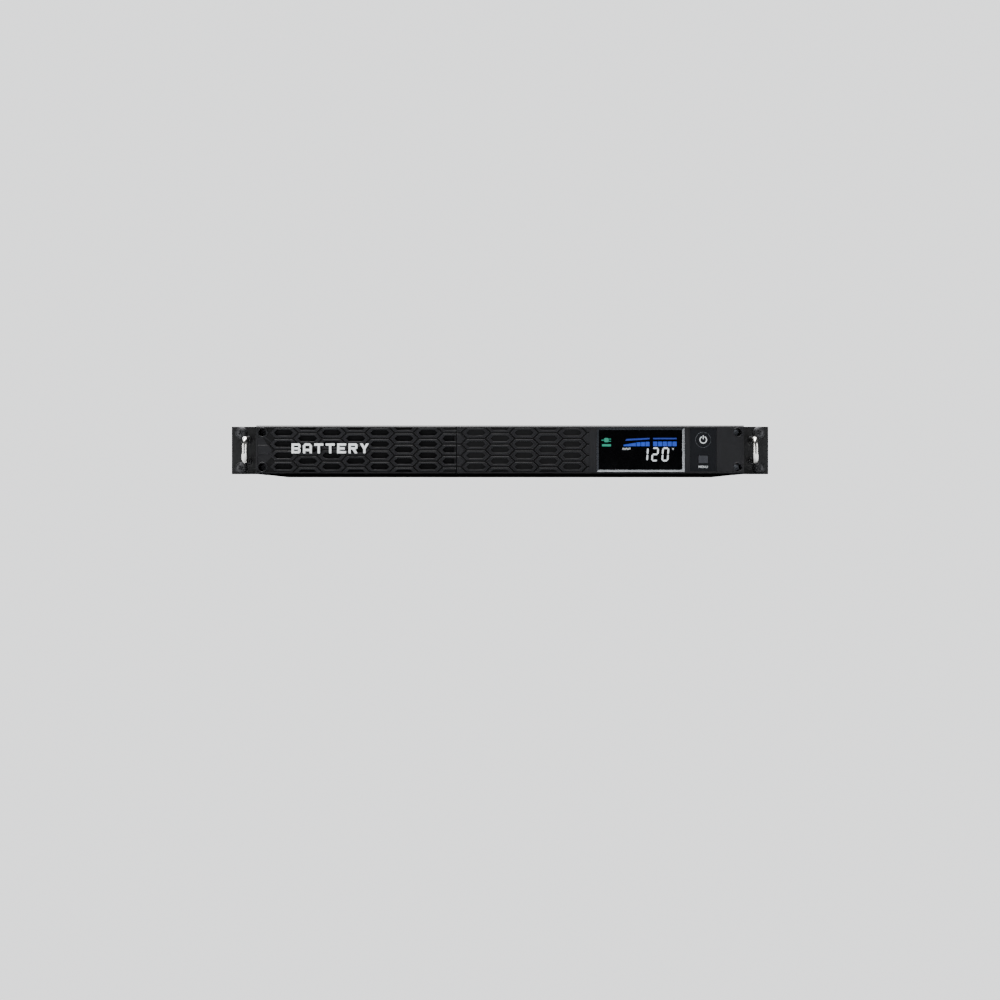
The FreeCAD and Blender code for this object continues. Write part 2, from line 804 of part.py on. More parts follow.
def moulding(label, left, right, back):
    """A hollow front moulding with chamfered long edges, closed in front."""
    body = new_body(label)
    profile = sketch_on(body, "YZ_Plane", left)
    edge = d.bezel_edge
    outline(
        profile,
        [
            (back, -TOP),
            (back, TOP),
            (FACE + edge, TOP),
            (FACE, TOP - edge),
            (FACE, edge - TOP),
            (FACE + edge, -TOP),
        ],
    )
    pad(body, profile, right - left)
    hollow = sketch_on(body, "XZ_Plane")
    wall = d.bezel_wall
    rectangle(hollow, left + wall, wall - TOP, right - wall, TOP - wall)
    pocket(body, hollow, d.bezel_deep - d.bezel_front, True)
    return body


def pocket_columns(body, first, columns, rows, depth):
    """Six-sided pockets in columns two cells apart, from the lowest one of the first column."""
    tip = (d.pocket_flat + d.pocket_high) / 2
    flat = d.pocket_flat / 2
    high = d.pocket_high / 2
    x = d.cell_across * first
    z = -d.cell_up * (rows - 1) / 2
    drawn = sketch_on(body, "XZ_Plane", d.bezel_deep)
    outline(
        drawn,
        [
            (x - tip, z),
            (x - flat, z - high),
            (x + flat, z - high),
            (x + tip, z),
            (x + flat, z + high),
            (x - flat, z + high),
        ],
    )
    grid(body, pocket(body, drawn, depth), drawn, d.cell_across * 2, columns, d.cell_up, rows)


def edge_pockets(body, first, columns, depth):
    """The part pockets along the top and bottom edges, in columns two cells apart."""
    flat = d.pocket_flat / 2
    low = d.cell_up * 2 - d.pocket_high / 2
    cut_off = 2.0
    x = d.cell_across * first
    drawn = sketch_on(body, "XZ_Plane", d.bezel_deep)
    for side in (-1, 1):
        near = low * side
        far = (low + cut_off) * side
        wide = flat + cut_off
        outline(drawn, [(x - flat, near), (x + flat, near), (x + wide, far), (x - wide, far)])
    grid(body, pocket(body, drawn, depth), drawn, d.cell_across * 2, columns, ZERO, 1)


def grille_field(body, left, right):
    """The shallow field that the grille's cells stand in."""
    drawn = sketch_on(body, "XZ_Plane", d.bezel_deep)
    rectangle(drawn, left, -d.field_high / 2, right, d.field_high / 2)
    pocket(body, drawn, d.field_deep)


def corner_recesses(body, side, back):
    """Two screw bosses with a deep recess at one end of a moulding."""
    x = d.recess_across / 2 * side
    bosses = sketch_on(body, "XZ_Plane", -back)
    for j in (-1, 1):
        circle(bosses, x, d.recess_up / 2 * j, d.boss_radius)
    pad(body, bosses, d.bezel_deep + back - d.bezel_front / 2)
    wells = sketch_on(body, "XZ_Plane", d.bezel_deep)
    for j in (-1, 1):
        circle(wells, x, d.recess_up / 2 * j, d.recess_radius)
    pocket(body, wells, d.recess_deep)
    holes = sketch_on(body, "XZ_Plane", d.bezel_deep)
    for j in (-1, 1):
        circle(holes, x, d.recess_up / 2 * j, d.screw_radius + d.screw_play)
    pocket(body, holes, d.bezel_deep + OVER)


def tabs(body, x, back):
    """Two locating tabs behind a moulding's wall."""
    drawn = sketch_on(body, "XZ_Plane", -back - d.tab_reach)
    for z in tab_heights():
        rectangle(drawn, x - d.tab_thick / 2, z - d.tab_high / 2, x + d.tab_thick / 2, z + d.tab_high / 2)
    pad(body, drawn, d.tab_reach + d.bezel_deep - d.bezel_front)


def front_screw(x, z):
    """A panhead screw at the bottom of a front recess."""
    seat = FACE + d.recess_deep
    head = rod((x, seat - d.captive_head_high, z), "y", d.screw_head, d.captive_head_high)
    shank = rod((x, seat, z), "y", d.screw_radius, d.captive_long)
    slot_y = seat - d.captive_head_high - OVER
    deep = OVER + 1.6
    return cut(
        joined(head, shank),
        block((x - 1.6, slot_y, z - 0.4), (3.2, deep, 0.8)),
        block((x - 0.4, slot_y, z - 1.6), (0.8, deep, 3.2)),
    )


def battery_door():
    """The left moulding, which comes off to reach the battery, with its two captive screws."""
    back = -d.door_gap
    right = d.seam_x - d.seam_gap / 2
    body = moulding("door", -HALF_WIDE, right, back)
    grille_field(body, d.field_side - HALF_WIDE, right + OVER)
    corner_recesses(body, -1, back)
    tabs(body, tab_places()[0], back)
    edge_pockets(body, -8, 3, d.door_pocket_deep)
    pocket_columns(body, -9, 4, 4, d.door_pocket_deep)
    pocket_columns(body, -8, 3, 3, d.door_pocket_deep)
    drawn = sketch_on(body, "XZ_Plane", d.bezel_deep)
    x = d.cell_across * -2
    flat = d.pocket_flat / 2
    high = d.pocket_high / 2
    z = -d.cell_up
    end = d.seam_x - 2.2
    corners = [
        (x - flat - high, z),
        (x - flat, z - high),
        (end, z - high),
        (end, z + high),
        (x - flat, z + high),
    ]
    outline(drawn, corners)
    grid(body, pocket(body, drawn, d.door_pocket_deep), drawn, size(1.0), 1, d.cell_up, 3)
    node(body, "battery_door")
    x = -d.recess_across / 2
    node(group(*[front_screw(x, d.recess_up / 2 * j) for j in (-1, 1)]), "door_screws")


def front_bezel():
    """The right moulding, round the display and the buttons."""
    left = d.seam_x + d.seam_gap / 2
    body = moulding("bezel", left, HALF_WIDE, ZERO)
    grille_field(body, left - OVER, d.field_end)
    corner_recesses(body, 1, ZERO)
    tabs(body, tab_places()[1], ZERO)
    edge_pockets(body, 0, 2, d.bezel_pocket_deep)
    pocket_columns(body, -1, 3, 4, d.bezel_pocket_deep)
    pocket_columns(body, 0, 2, 3, d.bezel_pocket_deep)
    window = sketch_on(body, "XZ_Plane", d.bezel_deep)
    wide = d.trim_wide / 2
    high = d.trim_high / 2
    rectangle(window, d.lcd_centre - wide, -high, d.lcd_centre + wide, high)
    pocket(body, window, d.bezel_front + OVER * 3)
    seat = sketch_on(body, "XZ_Plane", d.bezel_deep)
    wide = d.panel_wide / 2
    high = d.panel_high / 2
    rectangle(seat, d.panel_centre - wide, -high, d.panel_centre + wide, high)
    pocket(body, seat, d.panel_thick + 0.2)
    openings = sketch_on(body, "XZ_Plane", d.bezel_deep)
    button_openings(openings)
    pocket(body, openings, d.bezel_front + OVER)
    node(body, "front_bezel")
    x = d.recess_across / 2
    node(group(*[front_screw(x, d.recess_up / 2 * j) for j in (-1, 1)]), "bezel_screws")


def button_openings(sketch):
    """The holes that the two buttons pass through."""
    circle(sketch, d.panel_centre, d.power_up, d.power_radius + d.button_play)
    wide = d.setup_wide / 2 + d.button_play
    high = d.setup_high / 2 + d.button_play
    rectangle(sketch, d.panel_centre - wide, d.setup_up - high, d.panel_centre + wide, d.setup_up + high)


def letter(left, loops):
    """One raised block letter. Loops are closed outlines, as shares of the letter's width and height."""
    body = new_body("letter")
    drawn = sketch_on(body, "XZ_Plane", d.bezel_deep - d.field_deep)
    low = d.badge_up - d.letter_high / 2
    for loop in loops:
        outline(drawn, [(left + d.letter_wide * across, low + d.letter_high * up) for across, up in loop])
    pad(body, drawn, d.badge_thick + d.field_deep)
    return body


def box_loop(left, low, right, high):
    """A rectangle as a letter's loop."""
    return [(left, low), (right, low), (right, high), (left, high)]


def letter_shapes():
    """The block letters of the word on the battery door, drawn with straight strokes."""
    pen = 0.25
    bar = 0.23
    left, right = 0.5 - pen / 2, 0.5 + pen / 2
    low, high = 0.5 - bar / 2, 0.5 + bar / 2
    nip = 0.14
    return {
        "B": [
            [
                (0, 0),
                (1 - nip, 0),
                (1, nip),
                (1, 0.4),
                (0.9, 0.5),
                (1, 0.6),
                (1, 1 - nip),
                (1 - nip, 1),
                (0, 1),
            ],
            box_loop(pen, bar, 1 - pen, low),
            box_loop(pen, high, 1 - pen, 1 - bar),
        ],
        "A": [
            [
                (0, 0),
                (pen, 0),
                (pen, 0.22),
                (1 - pen, 0.22),
                (1 - pen, 0),
                (1, 0),
                (1, 0.76),
                (0.78, 1),
                (0.22, 1),
                (0, 0.76),
            ],
            box_loop(pen, 0.22 + bar, 1 - pen, 1 - bar),
        ],
        "T": [
            [
                (left, 0),
                (right, 0),
                (right, 1 - bar),
                (1, 1 - bar),
                (1, 1),
                (0, 1),
                (0, 1 - bar),
                (left, 1 - bar),
            ]
        ],
        "E": [
            [
                (0, 0),
                (1, 0),
                (1, bar),
                (pen, bar),
                (pen, low),
                (0.86, low),
                (0.86, high),
                (pen, high),
                (pen, 1 - bar),
                (1, 1 - bar),
                (1, 1),
                (0, 1),
            ]
        ],
        "R": [
            [
                (0, 0),
                (pen, 0),
                (pen, low),
                (0.42, low),
                (0.7, 0),
                (1, 0),
                (0.76, low + 0.01),
                (1, 0.52),
                (1, 1 - nip),
                (1 - nip, 1),
                (0, 1),
            ],
            box_loop(pen, high, 1 - pen, 1 - bar),
        ],
        "Y": [
            [
                (left, 0),
                (right, 0),
                (right, 0.42),
                (1, 1),
                (0.7, 1),
                (0.5, 0.66),
                (0.3, 1),
                (0, 1),
                (left, 0.42),
            ]
        ],
    }


def badge():
    """The word on the battery door that says what is behind it, in raised letters."""
    word = "BATTERY"
    shapes = letter_shapes()
    left = d.badge_centre - (d.letter_pitch * (len(word) - 1) + d.letter_wide) / 2
    node(group(*[letter(left + d.letter_pitch * i, shapes[mark]) for i, mark in enumerate(word)]), "badge")


# ---- display and buttons -------------------------------------------------------------------------


def display():
    """The display's trim, window, glass, board and cable, the switches, and the button panel."""
    x = d.lcd_centre
    wide = d.trim_wide / 2
    high = d.trim_high / 2
    bevel = d.trim_face
    gap = 0.1
    body = new_body("trim")
    outside = sketch_on(body, "XZ_Plane", d.bezel_deep)
    rectangle(outside, x - wide + gap, gap - high, x + wide - gap, high - gap)
    pad(body, outside, d.trim_thick, True)
    window = sketch_on(body, "XZ_Plane", d.bezel_deep)
    rectangle(window, x - wide + bevel, bevel - high, x + wide - bevel, high - bevel)
    pocket(body, window, d.trim_thick + OVER)
    slope = sketch_on(body, "XZ_Plane", d.bezel_deep)
    thin = bevel - 0.3
    rectangle(slope, x - wide + bevel, bevel - high, x + wide - bevel, high - bevel)
    flare = pocket(body, slope, thin)
    flare.TaperAngle = 42
    node(body, "lcd_trim")
    lens_front = FACE + d.trim_face
    lens_back = lens_front + d.lens_thick
    reach = 0.1
    node(
        span(
            (x - wide + bevel + reach, lens_front, bevel - high + reach),
            (x + wide - bevel - reach, lens_back, high - bevel - reach),
        ),
        "lcd_lens",
    )
    glass_back = FACE + d.trim_thick + d.lcd_thick
    node(
        span((x - wide + 2.5, lens_back, 2.5 - high), (x + wide - 2.5, glass_back, high - 2.5)),
        "lcd_panel",
    )
    board = span(
        (x - wide - 4.0, d.display_board_y, size(-18.6)),
        (d.panel_centre + 15.0, d.display_board_y + d.board_thick, size(18.6)),
    )
    frame = span((x - 30.0, glass_back, -14.0), (x + 30.0, d.display_board_y, 14.0))
    hollow = span((x - 27.0, glass_back - OVER, -11.0), (x + 27.0, d.display_board_y + OVER, 11.0))
    node(group(board, cut(frame, hollow)), "display_board")
    bases = []
    for up in (d.power_up, d.setup_up):
        half = d.switch_side / 2
        low = d.display_board_y - d.switch_high
        near_corner = (d.panel_centre - half, low, up - half)
        far_corner = (d.panel_centre + half, d.display_board_y, up + half)
        base = span(near_corner, far_corner)
        bases.append(cut(base, rod((d.panel_centre, low - OVER, up), "y", 1.7, d.switch_high + 0.8)))
    node(group(*bases), "switch_bases")
    body = new_body("panel_plate")
    plate = sketch_on(body, "XZ_Plane", d.bezel_deep - 0.2)
    wide = d.panel_wide / 2 - gap
    high = d.panel_high / 2 - gap
    rectangle(plate, d.panel_centre - wide, -high, d.panel_centre + wide, high)
    pad(body, plate, d.panel_thick, True)
    openings = sketch_on(body, "XZ_Plane", d.bezel_deep)
    button_openings(openings)
    pocket(body, openings, d.panel_thick + OVER)
    node(body, "button_panel")
    body = new_body("ribbon")
    side = sketch_on(body, "YZ_Plane", d.lcd_centre - d.ribbon_wide / 2)
    start = d.display_board_y + d.board_thick
    thick = d.ribbon_thick
    drop = BOARD_TOP + 4.0
    far = d.board_near + 6.0
    outline(
        side,
        [
            (start, ZERO),
            (far, ZERO),
            (far, drop),
            (far + thick, drop),
            (far + thick, thick),
            (start, thick),
        ],
    )
    pad(body, side, d.ribbon_wide)
    header = span(
        (d.lcd_centre - 10.0, far - 2.5, BOARD_TOP), (d.lcd_centre + 10.0, far + thick + 2.5, drop)
    )
    node(group(body, header), "display_cable")


def buttons():
    """The power and menu buttons, each a cap, a retaining collar and a plunger, and the power mark."""
    x = d.panel_centre
    front = FACE - d.button_proud
    collar = FACE_BACK + 0.3
    for travel, up, name in ((d.power_travel, d.power_up, "power"), (d.setup_travel, d.setup_up, "setup")):
        stem_end = d.display_board_y - d.switch_high - travel - 0.4
        if name == "power":
            cap = rod((x, front, up), "y", d.power_radius, collar - front)
            rim = rod((x, collar, up), "y", d.power_radius + 1.2, 1.0)
        else:
            wide = d.setup_wide / 2
            high = d.setup_high / 2
            cap = span((x - wide, front, up - high), (x + wide, collar, up + high))
            rim = span((x - wide - 1, collar, up - high - 1), (x + wide + 1, collar + 1.0, up + high + 1))
        stem = rod((x, collar, up), "y", 2.2, stem_end - collar)
        plunger = rod((x, stem_end, up), "y", 1.4, travel + 1.4)
        node(joined(cap, rim, stem, plunger), name + "_button")
    thick = 0.15
    y = front - thick
    gap_half = 1.15
    arc = cut(
        rod((x, y, d.power_up), "y", 3.3, thick),
        rod((x, y - OVER, d.power_up), "y", 2.55, 3.0),
        block((x - gap_half, y - OVER, d.power_up), (gap_half * 2, 3.0, 6.0)),
    )
    bar = block((x - 0.38, y, d.power_up + 0.6), (0.76, thick, 3.3))
    node(group(arc, bar), "power_icon")


# ---- battery pack --------------------------------------------------------------------------------



def block_case(front, lid_at_back):
    """A sealed lead-acid block lying down: case, welded lid and vent strip."""
    back = front + d.cell_tall
    inset = 0.8
    low = CRADLE_TOP
    if lid_at_back:
        case = (front, back - d.cell_lid)
        lid = (back - d.cell_lid, back)
        strip = (back - 1.5, back)
    else:
        case = (front + d.cell_lid, back)
        lid = (front, front + d.cell_lid)
        strip = (front, front + 1.5)
    main = span((d.pack_left, case[0], low), (PACK_RIGHT, case[1], PACK_TOP))
    cap = span((d.pack_left + inset, lid[0], low + inset), (PACK_RIGHT - inset, lid[1], PACK_TOP - inset))
    groove = span(
        (d.pack_left + 30.0, strip[0] - 0.1, low + 10.0), (PACK_RIGHT - 30.0, strip[1] + 0.1, low + 10.8)
    )
    return cut(joined(main, cap), groove)


def battery_pack():
    """Two six-volt blocks in series in a steel cradle, with their terminals, leads and plug."""
    near = block_case(d.pack_front, True)
    far = block_case(FAR_FRONT, False)
    node(group(near, far), "batteries")
    up = CRADLE_TOP + 22.0
    thick = d.terminal_thick
    long = d.terminal_long
    tabs_made = []
    tab_left = d.pack_left + 14.0
    tab_right = PACK_RIGHT - 20.0
    step = 8.0
    for x in (tab_left, tab_right):
        tabs_made.append(block((x, NEAR_BACK, up), (thick, long, d.terminal_wide)))
        tabs_made.append(block((x + step, FAR_FRONT - long, up), (thick, long, d.terminal_wide)))
    link = block((tab_left + thick, NEAR_BACK + 4.0, up + 1.0), (step - thick, 2.0, d.terminal_wide - 2.0))
    node(group(*tabs_made, link), "battery_terminals")
    lip = CRADLE_TOP + d.cradle_lip
    base_low = FLOOR + d.cradle_float
    thin = d.cradle_thick
    front = d.pack_front - thin - 0.6
    play = 0.3
    left = d.pack_left - thin - play
    right = PACK_RIGHT + thin + play
    base = span((left, front, base_low), (right, PACK_BACK, CRADLE_TOP))
    lips = [
        span((x, front, base_low), (x + thin, PACK_BACK, lip)) for x in (left, PACK_RIGHT + play)
    ]
    face = span((left, front, base_low), (right, front + thin, PACK_TOP - 2.0))
    pull_low = (d.pack_left + 55.0, front - OVER, CRADLE_TOP + 14.0)
    pull = span(pull_low, (PACK_RIGHT - 55.0, front + thin, CRADLE_TOP + 24.0))
    shelf_back = PACK_BACK + d.plug_deep
    shelf = span((d.plug_left - 6.0, PACK_BACK, base_low), (right, shelf_back, CRADLE_TOP))
    node(cut(joined(base, *lips, face, shelf), pull), "battery_cradle")
    plug_front = PACK_BACK
    low = CRADLE_TOP
    plug = block((d.plug_left, plug_front, low), (d.plug_wide, d.plug_deep, d.plug_high))
    pockets = []
    for x in blade_places():
        wide = thick + d.blade_play * 2
        pockets.append(
            block(
                (x - d.blade_play, plug_front + 1.2, low + 3.0 - d.blade_play),
                (wide, d.plug_deep, d.terminal_wide + d.blade_play * 2),
            )
        )
    node(cut(plug, *pockets), "battery_plug")
    over = PACK_TOP + d.lead_radius + 0.3
    top_tab = up + d.terminal_wide
    leads = []
    for x, end_x, y in (
        (tab_right + thick / 2, d.plug_left + 4.5, NEAR_BACK + 3.2),
        (tab_right + step + thick / 2, d.plug_left + 13.5, FAR_FRONT - 3.0),
    ):
        leads.append(
            wire_tube(
                [
                    (x, y, top_tab),
                    (x, y, over),
                    (x, y + 24.0, over),
                    (end_x, y + 60.0, over),
                    (end_x, PACK_BACK + 3.6, over),
                    (end_x, PACK_BACK + 3.6, low + d.plug_high),
                ],
                [2.2, 20.0, 20.0, 2.6],
                1.35,
            )
        )
    node(group(*leads), "battery_leads")


def blade_places():
    """The two contact blades of the battery connector, across."""
    return [d.plug_left + 4.1, d.plug_left + 13.1]


def bay_socket():
    """The fixed half of the battery connector with its blades, and the two leads to the main board."""
    plug_back = PACK_BACK + d.plug_deep
    low = CRADLE_TOP
    front = plug_back + 0.4
    body = span((d.plug_left - 2.0, front, low - 1.0), (d.divider_x, PANEL_IN, low + d.plug_high))
    blades = [
        block((x, PACK_BACK + 3.0, low + 3.0), (d.terminal_thick, front - PACK_BACK - 3.0, d.terminal_wide))
        for x in blade_places()
    ]
    node(group(body, *blades), "bay_socket")
    up = low + 10.6
    leads = []
    for aside, turn_y, board_x in ((3.4, 172.0, -20.0), (7.8, 167.6, -12.0)):
        x = d.divider_x - aside
        route = [(x, front, up), (x, turn_y, up), (board_x, turn_y, up), (board_x, turn_y, BOARD_TOP)]
        leads.append(wire_tube(route, [3.6, 3.6], 1.6))
    node(group(*leads), "bay_leads")


# ---- electronics ---------------------------------------------------------------------------------


def standoff_places():
    """Board fixings."""
    columns = (d.board_left + 8.0, (d.board_left + d.board_right) / 2, d.board_right - 8.0)
    return [(x, y) for x in columns for y in (d.board_near + 8.0, d.board_far - 8.0)]


def electronics():
    """The inverter board and what stands on it."""
    low = FLOOR + d.standoff_high
    plate = span((d.board_left, d.board_near, low), (d.board_right, d.board_far, BOARD_TOP))
    holes = [rod((x, y, low - OVER), "z", d.screw_radius + 0.1, 4.0) for x, y in standoff_places()]
    node(cut(plate, *holes), "main_board")
    posts = []
    for x, y in standoff_places():
        post = rod((x, y, FLOOR), "z", d.standoff_radius, d.standoff_high)
        stud = rod((x, y, low), "z", d.screw_radius, d.board_thick)
        head = rod((x, y, BOARD_TOP), "z", d.screw_head, 2.0)
        posts.append(joined(post, stud, head))
    node(group(*posts), "board_standoffs")
    transformer(size(20.0), size(58.0))
    heatsinks()
    cans = []
    for i in range(3):
        x = size(-14.0) + 21.0 * i
        foot = rod((x, 150.0, BOARD_TOP), "z", d.can_radius, 2.4)
        neck = rod((x, 150.0, BOARD_TOP), "z", d.can_radius - 0.6, d.can_high)
        barrel = rod((x, 150.0, BOARD_TOP + 3.6), "z", d.can_radius, d.can_high - 3.6)
        cans.append(joined(foot, neck, barrel))
    node(group(*cans), "bulk_capacitors")
    relay = (d.relay_long, d.relay_wide, d.relay_high)
    relays = [block((size(78.0) + 24.0 * i, 150.0, BOARD_TOP), relay) for i in range(4)]
    node(group(*relays), "relays")
    bore = rod((56.0, 152.0, BOARD_TOP - OVER), "z", 5.0, 16.0)
    core = cut(rod((56.0, 152.0, BOARD_TOP), "z", 13.0, 13.0), bore)
    node(core, "choke")
    upright = block((150.0, 34.0, BOARD_TOP), (1.6, 62.0, 28.0))
    chip = block((148.4, 54.0, BOARD_TOP + 9.0), (1.6, 12.0, 12.0))
    node(group(upright, chip), "control_board")
    outlet = rod((182.0, 160.0, BOARD_TOP + 6.0), "z", 1.2, 5.0)
    node(cut(rod((182.0, 160.0, BOARD_TOP), "z", 6.0, 9.0), outlet), "buzzer")


def transformer(left, near):
    """A ferrite transformer: a closed core with a wound middle leg."""
    leg = d.core_leg
    outer = block((left, near, BOARD_TOP), (d.core_long, d.core_deep, d.core_high))
    room = (d.core_long - leg * 3) / 2
    window = (room, d.core_deep + 2.0, d.core_high - leg * 1.4)
    windows = [
        block((left + leg + (room + leg) * i, near - OVER, BOARD_TOP + leg * 0.7), window)
        for i in (0, 1)
    ]
    node(cut(outer, *windows), "transformer_core")
    gap = 0.4
    low = BOARD_TOP + leg * 0.7 + gap
    high = BOARD_TOP + d.core_high - leg * 0.7 - gap
    coil_far = (left + d.core_long - leg - gap, near + d.core_deep + 7.0, high)
    coil = span((left + leg + gap, near - 7.0, low), coil_far)
    inner_near = (left + leg + room - gap, near - 2.0, low - OVER)
    inner_far = (left + leg * 2 + room + gap, near + d.core_deep + 2.0, high + OVER)
    inner = span(inner_near, inner_far)
    node(cut(coil, inner), "transformer_coil")


def heatsinks():
    """Two finned bars, with a row of transistors clamped to each."""
    bars = []
    devices = []
    for near in (36.0, 116.0):
        left = size(-14.0)
        base = block((left, near, BOARD_TOP), (d.sink_long, 3.0, d.sink_high))
        count = int(d.sink_fins.value)
        pitch = (d.sink_long - 2.0) / (count - 1)
        fin = (2.0, d.sink_deep, d.sink_high)
        fins = [block((left + pitch * i, near, BOARD_TOP), fin) for i in range(count)]
        bars.append(joined(base, *fins))
        for i in range(4):
            x = left + 12.0 + 26.0 * i
            body = block((x, near - 4.6, BOARD_TOP + 7.0), (10.0, 4.6, 9.0))
            flag = block((x, near - 1.3, BOARD_TOP + 16.0), (10.0, 1.3, 6.0))
            legs = [block((x + 1.5 + 2.8 * j, near - 3.0, BOARD_TOP), (1.0, 0.6, 7.0)) for j in range(3)]
            devices.append(joined(body, flag, *legs))
    node(group(*bars), "heatsinks")
    node(group(*devices), "power_transistors")


# ---- rear ----------------------------------------------------------------------------------------


def port_openings():
    """Panel openings of the serial, data and network ports, as low and high corners."""
    x = d.port_centre
    return [
        (x - 10.0, size(4.0), x + 10.0, size(14.4)),
        (x - 14.4, size(-14.4), x - 2.4, size(-3.2)),
        (x - 0.2, size(-16.6), x + 15.8, size(-3.2)),
    ]


def fan():
    """The exhaust fan: frame with struts, impeller on its shaft, wire guard and screws."""
    x = d.fan_centre
    half = d.fan_side / 2
    near = PANEL_IN - d.fan_deep
    box = span((x - half, near, -half + 0.2), (x + half, PANEL_IN, half - 0.2))
    bore = rod((x, near - OVER, ZERO), "y", d.fan_bore, d.fan_deep + 2.0)
    holes = [
        rod((x + d.fan_hole * i, near - OVER, d.fan_hole * j), "y", 1.9, d.fan_deep + 2.0)
        for i in (-1, 1)
        for j in (-1, 1)
    ]
    seat = rod((x, near, ZERO), "y", d.fan_hub, 2.4)
    arms = [
        block((x - half + 0.6, near, -1.2), (d.fan_side - 1.2, 1.8, 2.4)),
        block((x - 1.2, near, 0.6 - half), (2.4, 1.8, d.fan_side - 1.2)),
    ]
    bearing = rod((x, near - OVER, ZERO), "y", 1.55, 6.0)
    node(cut(joined(cut(box, bore, *holes), seat, *arms), bearing), "fan_frame")
    hub_near = near + 3.2
    hub_far = PANEL_IN - 1.6
    hub = rod((x, hub_near, ZERO), "y", d.fan_hub, hub_far - hub_near)
    spin = FreeCAD.Rotation(FreeCAD.Vector(0, 1, 0), 360.0 / d.fan_blades.value)
    pitched = FreeCAD.Rotation(FreeCAD.Vector(1, 0, 0), 38)
    turned = FreeCAD.Rotation()
    blades = []
    for _ in range(int(d.fan_blades.value)):
        blade = doc.addObject("Part::Box", "blade")
        bind(blade, "Length", d.fan_tip)
        blade.Width = 15.0
        blade.Height = 1.1
        middle = FreeCAD.Vector(x.value, (hub_near.value + hub_far.value) / 2, 0)
        stand = turned.multiply(pitched)
        blade.Placement = FreeCAD.Placement(middle + stand.multVec(FreeCAD.Vector(0, -7.5, -0.55)), stand)
        blades.append(blade)
        turned = spin.multiply(turned)
    sweep = rod((x, hub_near + 0.6, ZERO), "y", d.fan_tip, hub_far - hub_near - 1.2)
    shaft = rod((x, near + 0.4, ZERO), "y", 1.5, hub_near - near + 2.0)
    node(joined(common(joined(*blades), sweep), hub, shaft), "fan_impeller")
    out = REAR + d.wire_radius
    wires = [ring((x, out, ZERO), "y", radius, d.wire_radius) for radius in (6.0, 11.5, 17.0)]
    eyes = []
    for i in (-1, 1):
        for j in (-1, 1):
            at = (x + d.fan_hole * i, out, d.fan_hole * j)
            eyes.append(ring(at, "y", 2.7, d.wire_radius))
    spokes = []
    for turn in (45, 135):
        bar = doc.addObject("Part::Cylinder", "spoke")
        bind(bar, "Radius", d.wire_radius)
        bar.Height = 39.6
        stand = FreeCAD.Rotation(FreeCAD.Vector(0, 1, 0), turn)
        middle = FreeCAD.Vector(x.value, out.value, 0)
        bar.Placement = FreeCAD.Placement(middle + stand.multVec(FreeCAD.Vector(0, 0, -19.8)), stand)
        spokes.append(bar)
    node(joined(*wires, *eyes, *spokes), "fan_guard")
    screws = []
    for i in (-1, 1):
        for j in (-1, 1):
            at_x = x + d.fan_hole * i
            at_z = d.fan_hole * j
            seat_y = REAR + d.wire_radius * 2
            head = rod((at_x, seat_y, at_z), "y", 3.3, 1.6)
            shank = rod((at_x, PANEL_IN - 8.0, at_z), "y", 1.8, seat_y - PANEL_IN + 8.0)
            slot = block((at_x - 2.2, seat_y + 0.9, at_z - 0.4), (4.4, 2.0, 0.8))
            cross = block((at_x - 0.4, seat_y + 0.9, at_z - 2.2), (0.8, 2.0, 4.4))
            screws.append(cut(joined(head, shank), slot, cross))
    node(group(*screws), "fan_screws")


def mains_inlet():
    """A three-pin mains inlet with a snap-in flange."""
    x = d.inlet_centre
    wide = d.inlet_wide / 2
    high = d.inlet_high / 2
    body = new_body("inlet")
    block_shape = sketch_on(body, "XZ_Plane", -REAR)
    gap = 0.15
    rectangle(block_shape, x - wide + gap, gap - high, x + wide - gap, high - gap)
    pad(body, block_shape, d.inlet_deep + 1.5)
    flange = sketch_on(body, "XZ_Plane", -REAR)
    rectangle(flange, x - wide - 0.8, -high - 2.2, x + wide + 0.8, high + 2.2)
    pad(body, flange, d.inlet_flange, True)
    cavity = sketch_on(body, "XZ_Plane", -REAR - d.inlet_flange)
    half = 12.2
    tall = 8.2
    slope = 4.6
    outline(
        cavity,
        [
            (x - half, -tall),
            (x + half, -tall),
            (x + half, tall - slope),
            (x + half - slope, tall),
            (x - half + slope, tall),
            (x - half, tall - slope),
        ],
    )
    pocket(body, cavity, d.inlet_deep, True)
    node(body, "ac_inlet")
    bottom = REAR + d.inlet_flange - d.inlet_deep
    pins = []
    for across, up in ((-7.0, -2.0), (7.0, -2.0), (0.0, 2.0)):
        pin = block((x + across - 1.0, bottom, up - 2.0), (2.0, d.inlet_deep - 3.5, 4.0))
        pins.append(pin)
    node(group(*pins), "inlet_pins")


def breaker():
    """A resettable circuit breaker: body with bushing and nut, and its push button."""
    x = d.breaker_centre
    case = span((x - 6.6, PANEL_IN - 24.0, -12.0), (x + 6.6, PANEL_IN, 12.0))
    bushing = rod((x, PANEL_IN, ZERO), "y", 5.4, 6.0)
    nut = rod((x, REAR, ZERO), "y", 7.2, 2.6)
    bore = rod((x, PANEL_IN - 8.0, ZERO), "y", 3.9, 20.0)
    node(cut(joined(case, bushing, nut), bore), "breaker_body")
    stem = rod((x, PANEL_IN - 4.0, ZERO), "y", 3.6, 11.4)
    node(stem, "breaker_button")


